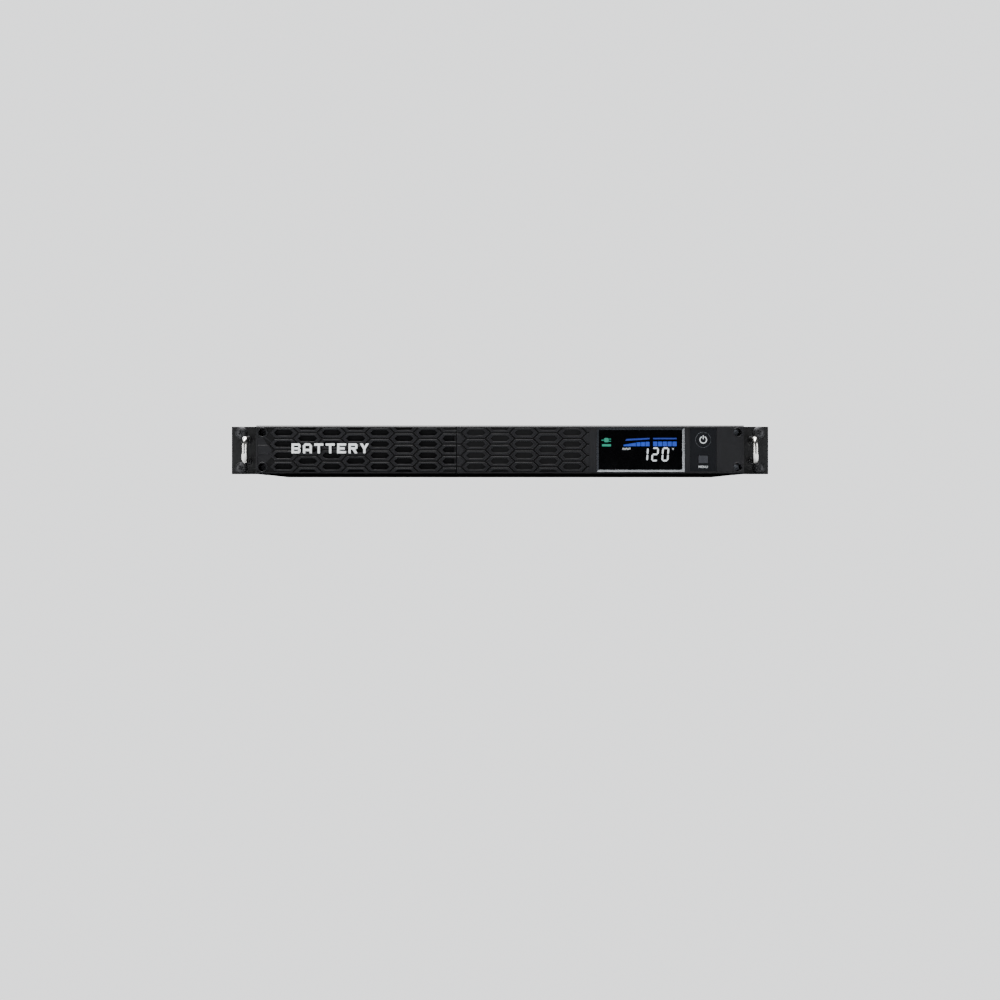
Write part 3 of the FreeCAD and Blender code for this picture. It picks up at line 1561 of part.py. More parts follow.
def outlets():
    """Mains outlets: an insulating block each, with blade slots, a ground hole, and brass contacts."""
    faces = []
    contacts = []
    back = REAR + d.outlet_proud
    for i in range(int(d.outlet_count.value)):
        x = d.outlet_first + d.outlet_pitch * i
        wide = d.outlet_wide / 2 - 0.15
        high = d.outlet_high / 2 - 0.15
        main = span((x - wide, PANEL_IN - d.outlet_deep, -high), (x + wide, back, high))
        deep = 15.0
        slots = []
        for across, low, tall, thick in ((-6.35, 0.2, 6.9, 2.0), (6.35, -0.6, 8.5, 2.2)):
            slots.append(block((x + across - thick / 2, back - deep, low), (thick, deep + OVER, tall)))
        slots.append(rod((x, back - deep, -7.0), "y", 2.55, deep + OVER))
        frame = cut(
            span((x - wide - OVER, back - 0.6, -high - OVER), (x + wide + OVER, back + OVER, high + OVER)),
            span(
                (x - wide + 1.4, back - OVER * 2, 1.4 - high),
                (x + wide - 1.4, back + OVER * 2, high - 1.4),
            ),
        )
        faces.append(cut(main, *slots, frame))
        for across, low, tall, thick in ((-6.35, 0.2, 6.9, 2.0), (6.35, -0.6, 8.5, 2.2)):
            contacts.append(
                block((x + across - thick / 2, back - deep, low + 0.4), (0.5, deep - 5.0, tall - 0.8))
            )
            contacts.append(
                block((x + across + thick / 2 - 0.5, back - deep, low + 0.4), (0.5, deep - 5.0, tall - 0.8))
            )
        socket_hole = rod((x, back - deep - OVER, -7.0), "y", 2.0, deep)
        sleeve = cut(rod((x, back - deep, -7.0), "y", 2.5, deep - 5.0), socket_hole)
        contacts.append(sleeve)
    node(group(*faces), "power_outlets")
    node(group(*contacts), "outlet_contacts")


def signal_ports():
    """The serial, data and network ports, the ground stud and the rating label."""
    (s_lx, s_lz, s_hx, s_hz), (u_lx, u_lz, u_hx, u_hz), (n_lx, n_lz, n_hx, n_hz) = port_openings()
    x = d.port_centre
    gap = 0.15
    mid = (s_lz + s_hz) / 2
    plate = span((x - 15.4, REAR, mid - 6.2), (x + 15.4, REAR + 1.0, mid + 6.2))
    shell = new_body("shell")
    drawn = sketch_on(shell, "XZ_Plane", -REAR - 6.0)
    outline(drawn, [(x - 7.7, mid - 4.2), (x + 7.7, mid - 4.2), (x + 8.9, mid + 4.2), (x - 8.9, mid + 4.2)])
    pad(shell, drawn, 14.0)
    face = sketch_on(shell, "XZ_Plane", -REAR - 6.0)
    for row, count in ((1.4, 5), (-1.4, 4)):
        for i in range(count):
            circle(face, x + 2.76 * (i - (count - 1) / 2), mid + row, 0.55)
    pocket(shell, face, 5.0, True)
    jacks = [rod((x + 12.5 * i, REAR, mid), "y", 2.4, 5.0) for i in (-1, 1)]
    jack_bores = [rod((x + 12.5 * i, REAR + 1.0, mid), "y", 1.2, 6.0) for i in (-1, 1)]
    node(cut(joined(plate, shell, *jacks), *jack_bores), "serial_port")
    case = span((u_lx + gap, PANEL_IN - 14.0, u_lz + gap), (u_hx - gap, REAR + 0.8, u_hz - gap))
    u_x = (u_lx + u_hx) / 2
    u_z = (u_lz + u_hz) / 2
    cavity = span((u_x - 4.25, REAR - 8.0, u_z - 3.9), (u_x + 4.25, REAR + 2.0, u_z + 3.9))
    tongue = span((u_x - 2.8, REAR - 8.5, u_z - 1.6), (u_x + 2.8, REAR - 0.6, u_z + 1.6))
    node(joined(cut(case, cavity), tongue), "usb_port")
    case = span((n_lx + gap, PANEL_IN - 17.0, n_lz + gap), (n_hx - gap, REAR + 0.8, n_hz - gap))
    n_x = (n_lx + n_hx) / 2
    cavity = joined(
        span((n_x - 5.9, REAR - 12.0, n_lz + 4.2), (n_x + 5.9, REAR + 2.0, n_hz - 1.4)),
        span((n_x - 3.1, REAR - 12.0, n_lz + 1.2), (n_x + 3.1, REAR + 2.0, n_lz + 4.4)),
    )
    node(cut(case, cavity), "network_port")
    g_x, g_z = GROUND
    stud = rod((g_x, PANEL_IN - 2.0, g_z), "y", 2.0, 11.0)
    inner_head = rod((g_x, PANEL_IN - 2.0, g_z), "y", 4.0, 2.0)
    washer = rod((g_x, REAR, g_z), "y", 4.4, 0.8)
    prism = doc.addObject("Part::Prism", "nut")
    prism.Polygon = 6
    prism.Circumradius = 4.0
    prism.Height = 3.2
    prism.Placement.Rotation = TURNS["y"]
    place(prism, (g_x, REAR + 0.8, g_z))
    node(joined(stud, inner_head, washer, prism), "ground_stud")
    node(span((-150.0, REAR, -12.0), (-98.0, REAR + 0.15, 12.0)), "rating_label")


def write_parts():
    """Checks every object and writes each sub-part's STEP file."""
    doc.recompute()
    failed = [o.Label for o in doc.Objects if {"Invalid", "Error"} & set(o.State)]
    if failed:
        raise SystemExit("failed objects: %s" % failed)
    for thing in nodes:
        if thing.Shape.isNull() or not thing.Shape.isValid():
            raise SystemExit("bad shape: %s" % thing.Label)
    os.makedirs("parts", exist_ok=True)
    for old in os.listdir("parts"):
        os.remove(os.path.join("parts", old))
    for thing in nodes:
        thing.Shape.exportStep(os.path.join("parts", thing.Label + ".step"))
        print("%-18s %3d solids %10.1f mm3" % (thing.Label, len(thing.Shape.Solids), thing.Shape.Volume))
    print(len(nodes), "sub-parts")


chassis_tray()
top_cover()
front_frame()
bay_divider()
rear_panel()
ears_and_handles()
battery_door()
badge()
front_bezel()
display()
buttons()
battery_pack()
bay_socket()
electronics()
fan()
mains_inlet()
breaker()
outlets()
signal_ports()
write_parts()
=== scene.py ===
"""Looks of a one-unit rackmount UPS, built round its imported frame.

Every place is in metres, in the frame's own axes: +X to the right seen from the front, +Y into the rack and
+Z up.
"""
import json
import logging
import math
from dataclasses import dataclass
from enum import Enum
from typing import Optional, Sequence, Union

import bmesh
import bpy
from mathutils import Matrix, Vector


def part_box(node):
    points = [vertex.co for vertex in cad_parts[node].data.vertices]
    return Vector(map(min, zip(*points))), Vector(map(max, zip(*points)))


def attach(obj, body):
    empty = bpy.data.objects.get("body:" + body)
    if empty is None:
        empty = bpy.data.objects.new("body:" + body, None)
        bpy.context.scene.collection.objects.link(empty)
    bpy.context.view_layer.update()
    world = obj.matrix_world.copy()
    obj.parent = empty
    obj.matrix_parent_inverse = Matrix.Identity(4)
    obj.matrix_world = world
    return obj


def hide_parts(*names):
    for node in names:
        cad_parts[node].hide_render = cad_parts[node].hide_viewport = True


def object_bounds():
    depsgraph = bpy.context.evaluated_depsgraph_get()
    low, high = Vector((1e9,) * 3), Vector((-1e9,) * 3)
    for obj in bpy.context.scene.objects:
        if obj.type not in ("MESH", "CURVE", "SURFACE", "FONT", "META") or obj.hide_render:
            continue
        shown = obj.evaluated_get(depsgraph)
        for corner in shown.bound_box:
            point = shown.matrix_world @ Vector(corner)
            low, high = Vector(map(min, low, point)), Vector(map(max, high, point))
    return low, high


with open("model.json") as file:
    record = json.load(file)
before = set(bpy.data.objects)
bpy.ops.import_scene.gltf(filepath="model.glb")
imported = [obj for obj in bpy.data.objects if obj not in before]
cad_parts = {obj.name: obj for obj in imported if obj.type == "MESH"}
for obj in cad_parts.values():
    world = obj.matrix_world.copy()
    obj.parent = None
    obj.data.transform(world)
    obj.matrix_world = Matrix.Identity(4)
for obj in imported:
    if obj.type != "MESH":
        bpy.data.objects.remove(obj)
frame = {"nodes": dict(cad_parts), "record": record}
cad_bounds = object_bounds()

MM = 0.001
log = logging.getLogger("rackmount_ups")

Point = tuple[float, float]
Node = Union[bpy.types.ShaderNode, bpy.types.GeometryNode]
Socket = bpy.types.NodeSocket
Tree = bpy.types.NodeTree
Sketch = bmesh.types.BMesh
Piece = bpy.types.Object


# ---- finishes ----------------------------------------------------------------------------------


def linear(colour: str) -> tuple[float, float, float, float]:
    """Turns an sRGB hex colour to linear light.

    Args:
        colour: such as "#1c1c1e".

    Returns:
        Red, green, blue and full alpha.
    """
    channels = [int(colour[i : i + 2], 16) / 255 for i in (1, 3, 5)]
    return (*[c / 12.92 if c <= 0.04045 else ((c + 0.055) / 1.055) ** 2.4 for c in channels], 1.0)


def add(tree: Tree, kind: str, inputs: Optional[dict] = None, **settings: object) -> Node:
    """Adds a node to a tree, with its settings, values and links.

    Args:
        tree: the tree that gets the node.
        kind: the node's type.
        inputs: socket name or number to a value, or to an output socket to link.
        **settings: the node's own properties.

    Returns:
        The new node.
    """
    made = tree.nodes.new(kind)
    for name, value in settings.items():
        setattr(made, name, value)
    for socket, value in (inputs or {}).items():
        if isinstance(value, Socket):
            tree.links.new(value, made.inputs[socket])
        else:
            made.inputs[socket].default_value = value
    return made


@dataclass(frozen=True)
class Finish:
    """A material with one base colour. Subclasses add what its surface shows."""

    name: str
    colour: str
    roughness: float
    metallic: float = 0.0
    ior: float = 1.5
    coat: float = 0.0

    def material(self) -> bpy.types.Material:
        """The Blender material, made on first use."""
        made = bpy.data.materials.get(self.name)
        if made:
            return made
        made = bpy.data.materials.new(self.name)
        made.use_nodes = True
        tree = made.node_tree
        tree.nodes.clear()
        values = {
            "Base Color": linear(self.colour),
            "Roughness": self.roughness,
            "Metallic": self.metallic,
            "IOR": self.ior,
            "Coat Weight": self.coat,
        }
        shader = add(tree, "ShaderNodeBsdfPrincipled", values)
        add(tree, "ShaderNodeOutputMaterial", {"Surface": shader.outputs[0]})
        self.detail(tree, shader)
        return made

    def detail(self, tree: Tree, shader: Node) -> None:
        """Adds the surface's own pattern to the shader."""

    def pattern(
        self, tree: Tree, kind: str, size: float, inputs: Optional[dict] = None, **settings: object
    ) -> Node:
        """Adds a texture, in the piece's own place unless its inputs give another.

        Args:
            tree: the material's tree.
            kind: the texture node's type.
            size: the size of one grain, cell or wave, in millimetres.
            inputs: further values and links.
            **settings: the node's own properties.

        Returns:
            The texture node.
        """
        values = {"Scale": 1 / (size * MM), **(inputs or {})}
        if "Vector" not in values:
            values["Vector"] = add(tree, "ShaderNodeTexCoord").outputs["Object"]
        return add(tree, kind, values, **settings)

    def tint(self, tree: Tree, share: Socket, low: object, high: object, target: Socket) -> None:
        """Mixes two tones by a share and links the result to a shader's socket."""
        tone = add(tree, "ShaderNodeMix", {0: share, 6: low, 7: high}, data_type="RGBA")
        tree.links.new(tone.outputs[2], target)

    def shine(self, tree: Tree, shader: Node, share: Socket, low: float, high: float) -> None:
        """Lets the roughness vary between two values by a share."""
        gloss = add(tree, "ShaderNodeMapRange", {"Value": share, "To Min": low, "To Max": high})
        tree.links.new(gloss.outputs[0], shader.inputs["Roughness"])

    def emboss(self, tree: Tree, shader: Node, height: Socket, depth: float) -> None:
        """Raises the surface by a pattern, to a depth in millimetres."""
        bump = add(tree, "ShaderNodeBump", {"Height": height, "Distance": depth * MM})
        tree.links.new(bump.outputs[0], shader.inputs["Normal"])


@dataclass(frozen=True)
class Grained(Finish):
    """A surface with a fine grain in its relief and a slow change in its tone and gloss."""

    second: str = "#000000"
    mottle: float = 18.0
    grain: float = 0.6
    depth: float = 0.03
    spread: float = 0.06
    stretch: tuple[float, float, float] = (1.0, 1.0, 1.0)

    def detail(self, tree: Tree, shader: Node) -> None:
        """Mixes two tones, varies the gloss, and raises the grain."""
        place = add(tree, "ShaderNodeTexCoord").outputs["Object"]
        spot = add(tree, "ShaderNodeMapping", {"Vector": place, "Scale": self.stretch}).outputs[0]
        slow = {"Vector": spot, "Detail": 3.0, "Roughness": 0.6}
        fine = {"Vector": spot, "Detail": 2.0, "Roughness": 0.55}
        cloud = self.pattern(tree, "ShaderNodeTexNoise", self.mottle, slow).outputs[0]
        grain = self.pattern(tree, "ShaderNodeTexNoise", self.grain, fine).outputs[0]
        both = add(tree, "ShaderNodeMath", {0: cloud, 1: grain}, operation="ADD").outputs[0]
        share = add(tree, "ShaderNodeMapRange", {"Value": both, "From Min": 0.7, "From Max": 1.3}).outputs[0]
        self.tint(tree, share, linear(self.colour), linear(self.second), shader.inputs["Base Color"])
        self.shine(tree, shader, share, max(self.roughness - self.spread, 0.02), self.roughness + self.spread)
        self.emboss(tree, shader, grain, self.depth)


@dataclass(frozen=True)
class Spangled(Finish):
    """Zinc-coated steel: flat crystals a few millimetres across, each with its own tone."""

    second: str = "#8d9093"
    crystal: float = 4.0

    def detail(self, tree: Tree, shader: Node) -> None:
        """Gives each crystal its tone and gloss."""
        cells = self.pattern(tree, "ShaderNodeTexVoronoi", self.crystal, {"Randomness": 1.0})
        grey = add(tree, "ShaderNodeRGBToBW", {"Color": cells.outputs["Color"]}).outputs[0]
        self.tint(tree, grey, linear(self.colour), linear(self.second), shader.inputs["Base Color"])
        self.shine(tree, shader, grey, self.roughness - 0.1, self.roughness + 0.12)
        self.emboss(tree, shader, cells.outputs["Distance"], 0.02)


@dataclass(frozen=True)
class Lit(Finish):
    """A lit print or light guide, a little brighter towards its middle lamps."""

    glow: str = "#ffffff"
    strength: float = 2.0
    lamp: float = 9.0

    def detail(self, tree: Tree, shader: Node) -> None:
        """Lets the glow rise and fall slowly from lamp to lamp."""
        lamps = self.pattern(tree, "ShaderNodeTexNoise", self.lamp, {"Detail": 0.0}).outputs[0]
        share = add(tree, "ShaderNodeMapRange", {"Value": lamps, "From Min": 0.3, "From Max": 0.7}).outputs[0]
        dim = tuple(c * 0.82 for c in linear(self.glow)[:3]) + (1.0,)
        self.tint(tree, share, dim, linear(self.glow), shader.inputs["Emission Color"])
        shader.inputs["Emission Strength"].default_value = self.strength


@dataclass(frozen=True)
class CircuitBoard(Finish):
    """Solder mask over copper: tracks and filled areas show as a lighter green."""

    track: str = "#2c7a45"
    pitch: float = 5.0

    def detail(self, tree: Tree, shader: Node) -> None:
        """Draws tracks as the joints of bricks laid over flat cells."""
        mask, copper = linear(self.colour), linear(self.track)
        laid = {"Mortar Size": 0.06, "Mortar Smooth": 0.0, "Brick Width": 1.7, "Row Height": 0.45}
        coloured = {"Color1": mask, "Color2": mask, "Mortar": copper}
        tracks = self.pattern(tree, "ShaderNodeTexBrick", self.pitch, {**laid, **coloured})
        fills = self.pattern(tree, "ShaderNodeTexVoronoi", self.pitch * 3, distance="MANHATTAN")
        grey = add(tree, "ShaderNodeRGBToBW", {"Color": fills.outputs["Color"]}).outputs[0]
        share = add(tree, "ShaderNodeMath", {0: grey, 1: 0.62}, operation="GREATER_THAN").outputs[0]
        self.tint(tree, share, tracks.outputs["Color"], copper, shader.inputs["Base Color"])
        self.emboss(tree, shader, tracks.outputs["Fac"], 0.03)


@dataclass(frozen=True)
class Banded(Finish):
    """Parallel bands along one axis, as of tape laps, flat-cable cores or a sleeve's folds."""

    second: str = "#000000"
    band: float = 1.2
    depth: float = 0.08
    axis: str = "X"

    def detail(self, tree: Tree, shader: Node) -> None:
        """Draws the bands in tone and relief. A wave texture has ten waves to each pi of its scale."""
        wave = 10 * self.band / math.pi
        waves = self.pattern(tree, "ShaderNodeTexWave", wave, {"Distortion": 0.0}, bands_direction=self.axis)
        share = waves.outputs["Fac"]
        self.tint(tree, share, linear(self.second), linear(self.colour), shader.inputs["Base Color"])
        self.emboss(tree, shader, share, self.depth)


# Powder-coated steel: an even black with a fine orange-peel relief and a soft sheen.
POWDER = Grained(
    "powder_coated_steel", "#0e0e0f", 0.4, ior=1.36, second="#131314", grain=0.9, depth=0.035, spread=0.02
)
# Moulded ABS with a spark-eroded texture: matt, and slightly grey where the grain stands up. Its real grain,
# about 0.2 mm, is drawn coarser so that it shows.
ABS = Grained(
    "moulded_abs", "#101012", 0.4, ior=1.33, second="#151518", mottle=30, grain=0.55, depth=0.03, spread=0.05
)
# The sunk field between the cells and the gaps round the rims: the same moulding, darker as painted shade in
# the recess, and duller.
SHADED_FIELD_ABS = Grained(
    "moulded_abs_field", "#070708", 0.6, ior=1.25, second="#09090a", mottle=20, grain=0.5, depth=0.03
)
# The pockets' walls and floors: rougher still, and near black as painted shade, so they read as holes.
SHADED_POCKET_ABS = Grained(
    "moulded_abs_pocket", "#030304", 0.7, ior=1.2, second="#050506", mottle=20, grain=0.5, depth=0.03
)
# Satin film over the button panel: a cool black, a little glossier than the moulding round it.
FILM = Grained(
    "satin_panel_film", "#07080c", 0.44, ior=1.26,
    second="#090b10", mottle=26, grain=0.4, depth=0.008, spread=0.04
)
# The small key is moulded in a lighter grey, matt from use.
KEY = Grained(
    "grey_key_abs", "#202228", 0.45, second="#26282f", mottle=4, grain=0.4, depth=0.015, spread=0.05
)
# Hard-coated acrylic over the display: near black, mirror-smooth, with faint wipe marks in the gloss.
WINDOW = Grained(
    "smoked_acrylic", "#020203", 0.06, ior=1.35,
    second="#030304", mottle=22, grain=6.0, depth=0.001, spread=0.02
)
# Vacuum-metallised moulding: a bright, slightly soft silver.
SILVER = Grained(
    "metallised_trim", "#c9cbce", 0.24, 0.9, second="#b4b7bb", mottle=9, grain=0.5, depth=0.005, spread=0.05
)
# A darker copy of the metallised trim for the rest of the display's frame: painted shade on the sides that
# face down and away from the light, with a clear sheen on its edges.
SHADED_TRIM = Grained(
    "smoked_metallised_trim", "#3b3d41", 0.26, 0.8, second="#33353a", mottle=9, grain=0.5, depth=0.005
)
# Nickel plate over a polished rod: sharp reflections with a few rubbed patches.
PLATE = Grained(
    "polished_nickel_plate", "#e3e1dc", 0.2, 1.0,
    second="#d2d0cb", mottle=7, grain=0.8, depth=0.004, spread=0.05
)
# Zinc-plated screws: pale, a little blue, with fine turning marks.
ZINC = Grained(
    "zinc_plated_screw", "#b9bcc0", 0.32, 1.0, second="#9fa3a8", mottle=2, grain=0.3, depth=0.01, spread=0.08
)
# Black-oxide screws: nearly black metal with an oily sheen.
OXIDE = Grained(
    "black_oxide_screw", "#2b2b2d", 0.36, 0.8, second="#1c1c1e", mottle=2, grain=0.3, depth=0.01, spread=0.08
)
# Black zinc on the rack screws and their cup washers: dark grey with a soft metal sheen.
BLACK_ZINC = Grained(
    "black_zinc_screw", "#3b3b3d", 0.5, 0.6, second="#2e2e30", mottle=2, grain=0.3, depth=0.01
)
# Passivated screws: a mid grey that tells them from the black moulding.
PASSIVATED = Grained(
    "passivated_screw", "#6a6c71", 0.34, 0.9, second="#55575c", mottle=2, grain=0.3, depth=0.01, spread=0.08
)
# Tinned contacts: soft white metal.
TIN = Grained(
    "tinned_contact", "#c3c4c0", 0.3, 1.0, second="#a9aaa6", mottle=3, grain=0.4, depth=0.008, spread=0.08
)
# Nickel-plated drawn shells of the ports.
SHELL = Grained(
    "nickel_shell", "#bdbdba", 0.28, 1.0, second="#a6a6a3", mottle=4, grain=0.4, depth=0.006, spread=0.06
)
# Turned brass, slightly toned.
BRASS = Grained(
    "turned_brass", "#c9a35a", 0.3, 1.0, second="#b08a45", mottle=3, grain=0.3, depth=0.01, spread=0.08
)
# Extruded aluminium: bright, with drawing lines along the fins.
EXTRUSION = Grained(
    "extruded_aluminium",
    "#c6c8ca",
    0.34,
    1.0,
    second="#b2b4b7",
    mottle=4,
    grain=0.5,
    depth=0.02,
    stretch=(1.0, 1.0, 0.06),
)
# Galvanised steel sheet: a bright grey patchwork of zinc crystals.
GALVANISED = Spangled("galvanised_sheet", "#a5a8ab", 0.36, 1.0)
# Printed white ABS letters: clean and matt, a touch warm.
LETTERS = Grained(
    "white_moulded_letters", "#eef0f0", 0.42, second="#e3e6e6", mottle=6, grain=0.5, depth=0.006
)
# White ink on the panel film.
INK = Grained("white_panel_ink", "#dcdfe0", 0.5, second="#ccd0d2", mottle=3, grain=0.3, depth=0.004)
# Grey ink of the dotted ring.
GREY_INK = Grained("grey_panel_ink", "#84888d", 0.5, second="#74787d", mottle=3, grain=0.3, depth=0.004)
# Battery cases: grey-black ABS, smoother than the front.
CELL_CASE = Grained("battery_abs", "#3a3b3e", 0.4, second="#333437", mottle=14, grain=0.8, depth=0.02)
# Polyester labels: pale, faintly glossy.
LABEL = Grained("polyester_label", "#d4d7d8", 0.34, second="#c9cccd", mottle=12, grain=0.7, depth=0.004)
# Black label ink: dark grey rules, duller than the film under them.
LABEL_INK = Grained("label_ink", "#3b4046", 0.45, second="#31363b", mottle=4, grain=0.4, depth=0.003)
# Blue label ink: an even, slightly glossy band.
LABEL_BLUE = Grained("label_blue_ink", "#2f5f93", 0.42, second="#29568a", mottle=4, grain=0.4, depth=0.003)
# Natural nylon of the battery connector: a warm off-white with a soft sheen.
NYLON = Grained("natural_nylon", "#d8d1bd", 0.45, second="#cbc3ae", mottle=6, grain=0.5, depth=0.01)
# Flame-retardant nylon of sockets: deep black, slightly shiny.
SOCKET = Grained("socket_nylon", "#19191a", 0.38, second="#202021", mottle=10, grain=0.5, depth=0.012)
# Glass-filled PBT of the fan: black with a low sheen.
FAN = Grained("fan_pbt", "#1b1b1d", 0.36, second="#232325", mottle=8, grain=0.5, depth=0.012)
# Moulded epoxy of chips and transistors: flat dark grey.
EPOXY = Grained("moulded_epoxy", "#232325", 0.55, second="#1b1b1c", mottle=4, grain=0.3, depth=0.02)
# Red silicone wire covering: a deep red with a soft sheen.
RED_LEAD = Grained("red_silicone", "#a51f1b", 0.42, second="#931815", mottle=5, grain=0.5, depth=0.01)
# Black silicone wire covering, the same but black.
BLACK_LEAD = Grained("black_silicone", "#1c1c1d", 0.42, second="#252526", mottle=5, grain=0.5, depth=0.01)
# Sintered ferrite: a dull, faintly metallic dark grey.
FERRITE = Grained("sintered_ferrite", "#37383b", 0.5, 0.2, second="#2b2c2e", mottle=3, grain=0.3, depth=0.03)
# Enamelled copper wire: a glossy reddish brown.
COPPER = Grained("enamelled_copper", "#b4652f", 0.28, 0.9, second="#98501f", mottle=2, grain=0.4, depth=0.01)
# Shrunk sleeve of the capacitors: a glossy navy.
SLEEVE = Grained("capacitor_sleeve", "#1d2b4d", 0.3, second="#18243f", mottle=6, grain=0.8, depth=0.008)
# Polyester relay cases: a clear mid blue.
RELAY = Grained("relay_case", "#1f4f86", 0.35, second="#1a4577", mottle=6, grain=0.5, depth=0.01)
# Beige moulded connector bodies: flat and warm.
BEIGE = Grained("moulded_beige", "#cfc6ae", 0.5, second="#c2b89f", mottle=5, grain=0.4, depth=0.012)
# White ABS of the breaker's button: clean, a touch warm.
RESET = Grained("reset_button_white", "#dddcd6", 0.4, second="#d0cfc8", mottle=3, grain=0.3, depth=0.006)
# Polyester tape round the coil: amber, with the edge of each lap showing.
TAPE = Banded("polyester_tape", "#d9a52a", 0.35, second="#bf8d1c", band=4.0, depth=0.05, axis="Y")
# Grey flat cable: a fine rib for each core.
FLAT_CABLE = Banded("flat_cable", "#a9aaac", 0.45, second="#7f8183", band=1.27, depth=0.1, axis="X")
# Glass-epoxy board under green solder mask: glossy, with paler tracks.
BOARD = CircuitBoard("solder_mask", "#14502b", 0.28)
# Teal marks of the lit display.
TEAL = Lit("teal_display_mark", "#0b2f2c", 0.4, glow="#00c89c", strength=0.6)
# Blue bars of the lit display.
BLUE = Lit("blue_display_bar", "#0a1f3a", 0.4, glow="#0050ff", strength=0.62)
# The thin lines over the bars, a darker blue.
DEEP_BLUE = Lit("deep_blue_display_bar", "#08162b", 0.4, glow="#0040e0", strength=0.5)
# White figures of the lit display: the brightest thing on the front.
WHITE_LIT = Lit("white_display_figure", "#30363a", 0.4, glow="#f4fbff", strength=1.3)
# Light guide of the power mark: an even soft white.
GUIDE_LIT = Lit("lit_power_mark", "#3a3f42", 0.4, glow="#f2f6f8", strength=1.1)


# ---- meshes ------------------------------------------------------------------------------------


def smoothed(piece: Piece, angle: float = 34.0) -> None:
    """Shades a piece smooth but for edges sharper than an angle in degrees, with its flat faces kept flat."""
    mesh = piece.data
    mesh.polygons.foreach_set("use_smooth", [True] * len(mesh.polygons))
    mesh.set_sharp_from_angle(angle=math.radians(angle))
    weigh = piece.modifiers.new("flat_faces", "WEIGHTED_NORMAL")
    weigh.mode = "FACE_AREA"
    weigh.weight = 100
    weigh.keep_sharp = True
    settled(piece)


def placed(name: str, data: bpy.types.ID, *finishes: Finish) -> Piece:
    """Puts a mesh, curve, lamp or camera into the scene as an object at the origin, in its finishes."""
    for finish in finishes:
        data.materials.append(finish.material())
    made = bpy.data.objects.new(name, data)
    bpy.context.scene.collection.objects.link(made)
    return made


def mesh_of(name: str, source: Sketch) -> bpy.types.Mesh:
    """Turns a sketched mesh into a finished one, and frees the sketch."""
    mesh = bpy.data.meshes.new(name)
    source.to_mesh(mesh)
    source.free()
    return mesh


def piece_from(name: str, source: Sketch, finish: Finish) -> Piece:
    """Makes an object at the origin from a closed sketch, with its faces turned outwards."""
    bmesh.ops.recalc_face_normals(source, faces=source.faces)
    return placed(name, mesh_of(name, source), finish)


def settled(piece: Piece) -> Piece:
    """Applies a piece's modifiers and returns it."""
    graph = bpy.context.evaluated_depsgraph_get()
    mesh = bpy.data.meshes.new_from_object(piece.evaluated_get(graph))
    piece.modifiers.clear()
    piece.data = mesh
    mesh.name = piece.name
    return piece


def fit(piece: Piece, body: str, slot: str, *stands_for: str) -> Piece:
    """Makes a piece ride on a body, hides the CAD nodes that it stands for, and reports it.

    Args:
        piece: the finished piece.
        body: the body that carries it.
        slot: the record's material slot; not used.
        *stands_for: CAD nodes that it replaces.

    Returns:
        The piece.
    """
    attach(piece, body)
    if stands_for:
        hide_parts(*stands_for)
    log.info("%s: %d faces on %s", piece.name, len(piece.data.polygons), body)
    return piece


def record_of(node: str) -> tuple[str, str]:
    """The body and material slot that the record gives a node."""
    record = frame["record"]
    body = next(name for name, nodes in record["behaviour"]["bodies"].items() if node in nodes)
    slot = next(s["material_slot"] for s in record["subparts"] if s["node"] == node)
    return body, slot


def dress(finish: Finish, *nodes: str) -> None:
    """Gives CAD nodes that keep their shape a finish."""
    for node in nodes:
        shown = frame["nodes"][node]
        if not shown.material_slots:
            shown.data.materials.append(None)
        for place in shown.material_slots:
            place.material = finish.material()
        log.info("%s: dressed in %s", node, finish.name)


def merged_copy(node: str) -> Sketch:
    """A node's mesh with its corners merged, and its flat faces whole unless their outline is hollow."""
    copy = bmesh.new()
    copy.from_mesh(frame["nodes"][node].data)
    bmesh.ops.remove_doubles(copy, verts=copy.verts, dist=0.002 * MM)
    bmesh.ops.dissolve_limit(copy, angle_limit=math.radians(0.6), verts=copy.verts, edges=copy.edges)
    hollow = [face for face in copy.faces if not all(loop.is_convex for loop in face.loops)]
    bmesh.ops.triangulate(copy, faces=hollow, quad_method="BEAUTY", ngon_method="BEAUTY")
    return copy


def islands(source: Sketch) -> list[list[bmesh.types.BMFace]]:
    """The separate shells of a mesh, in the order of their lowest X."""
    left = set(source.faces)
    found = []
    for first in source.faces:
        if first not in left:
            continue
        left.remove(first)
        todo = [first]
        shell = []
        while todo:
            face = todo.pop()
            shell.append(face)
            for edge in face.edges:
                for other in edge.link_faces:
                    if other in left:
                        left.remove(other)
                        todo.append(other)
        found.append(shell)
    return sorted(found, key=lambda shell: min(v.co.x for face in shell for v in face.verts))


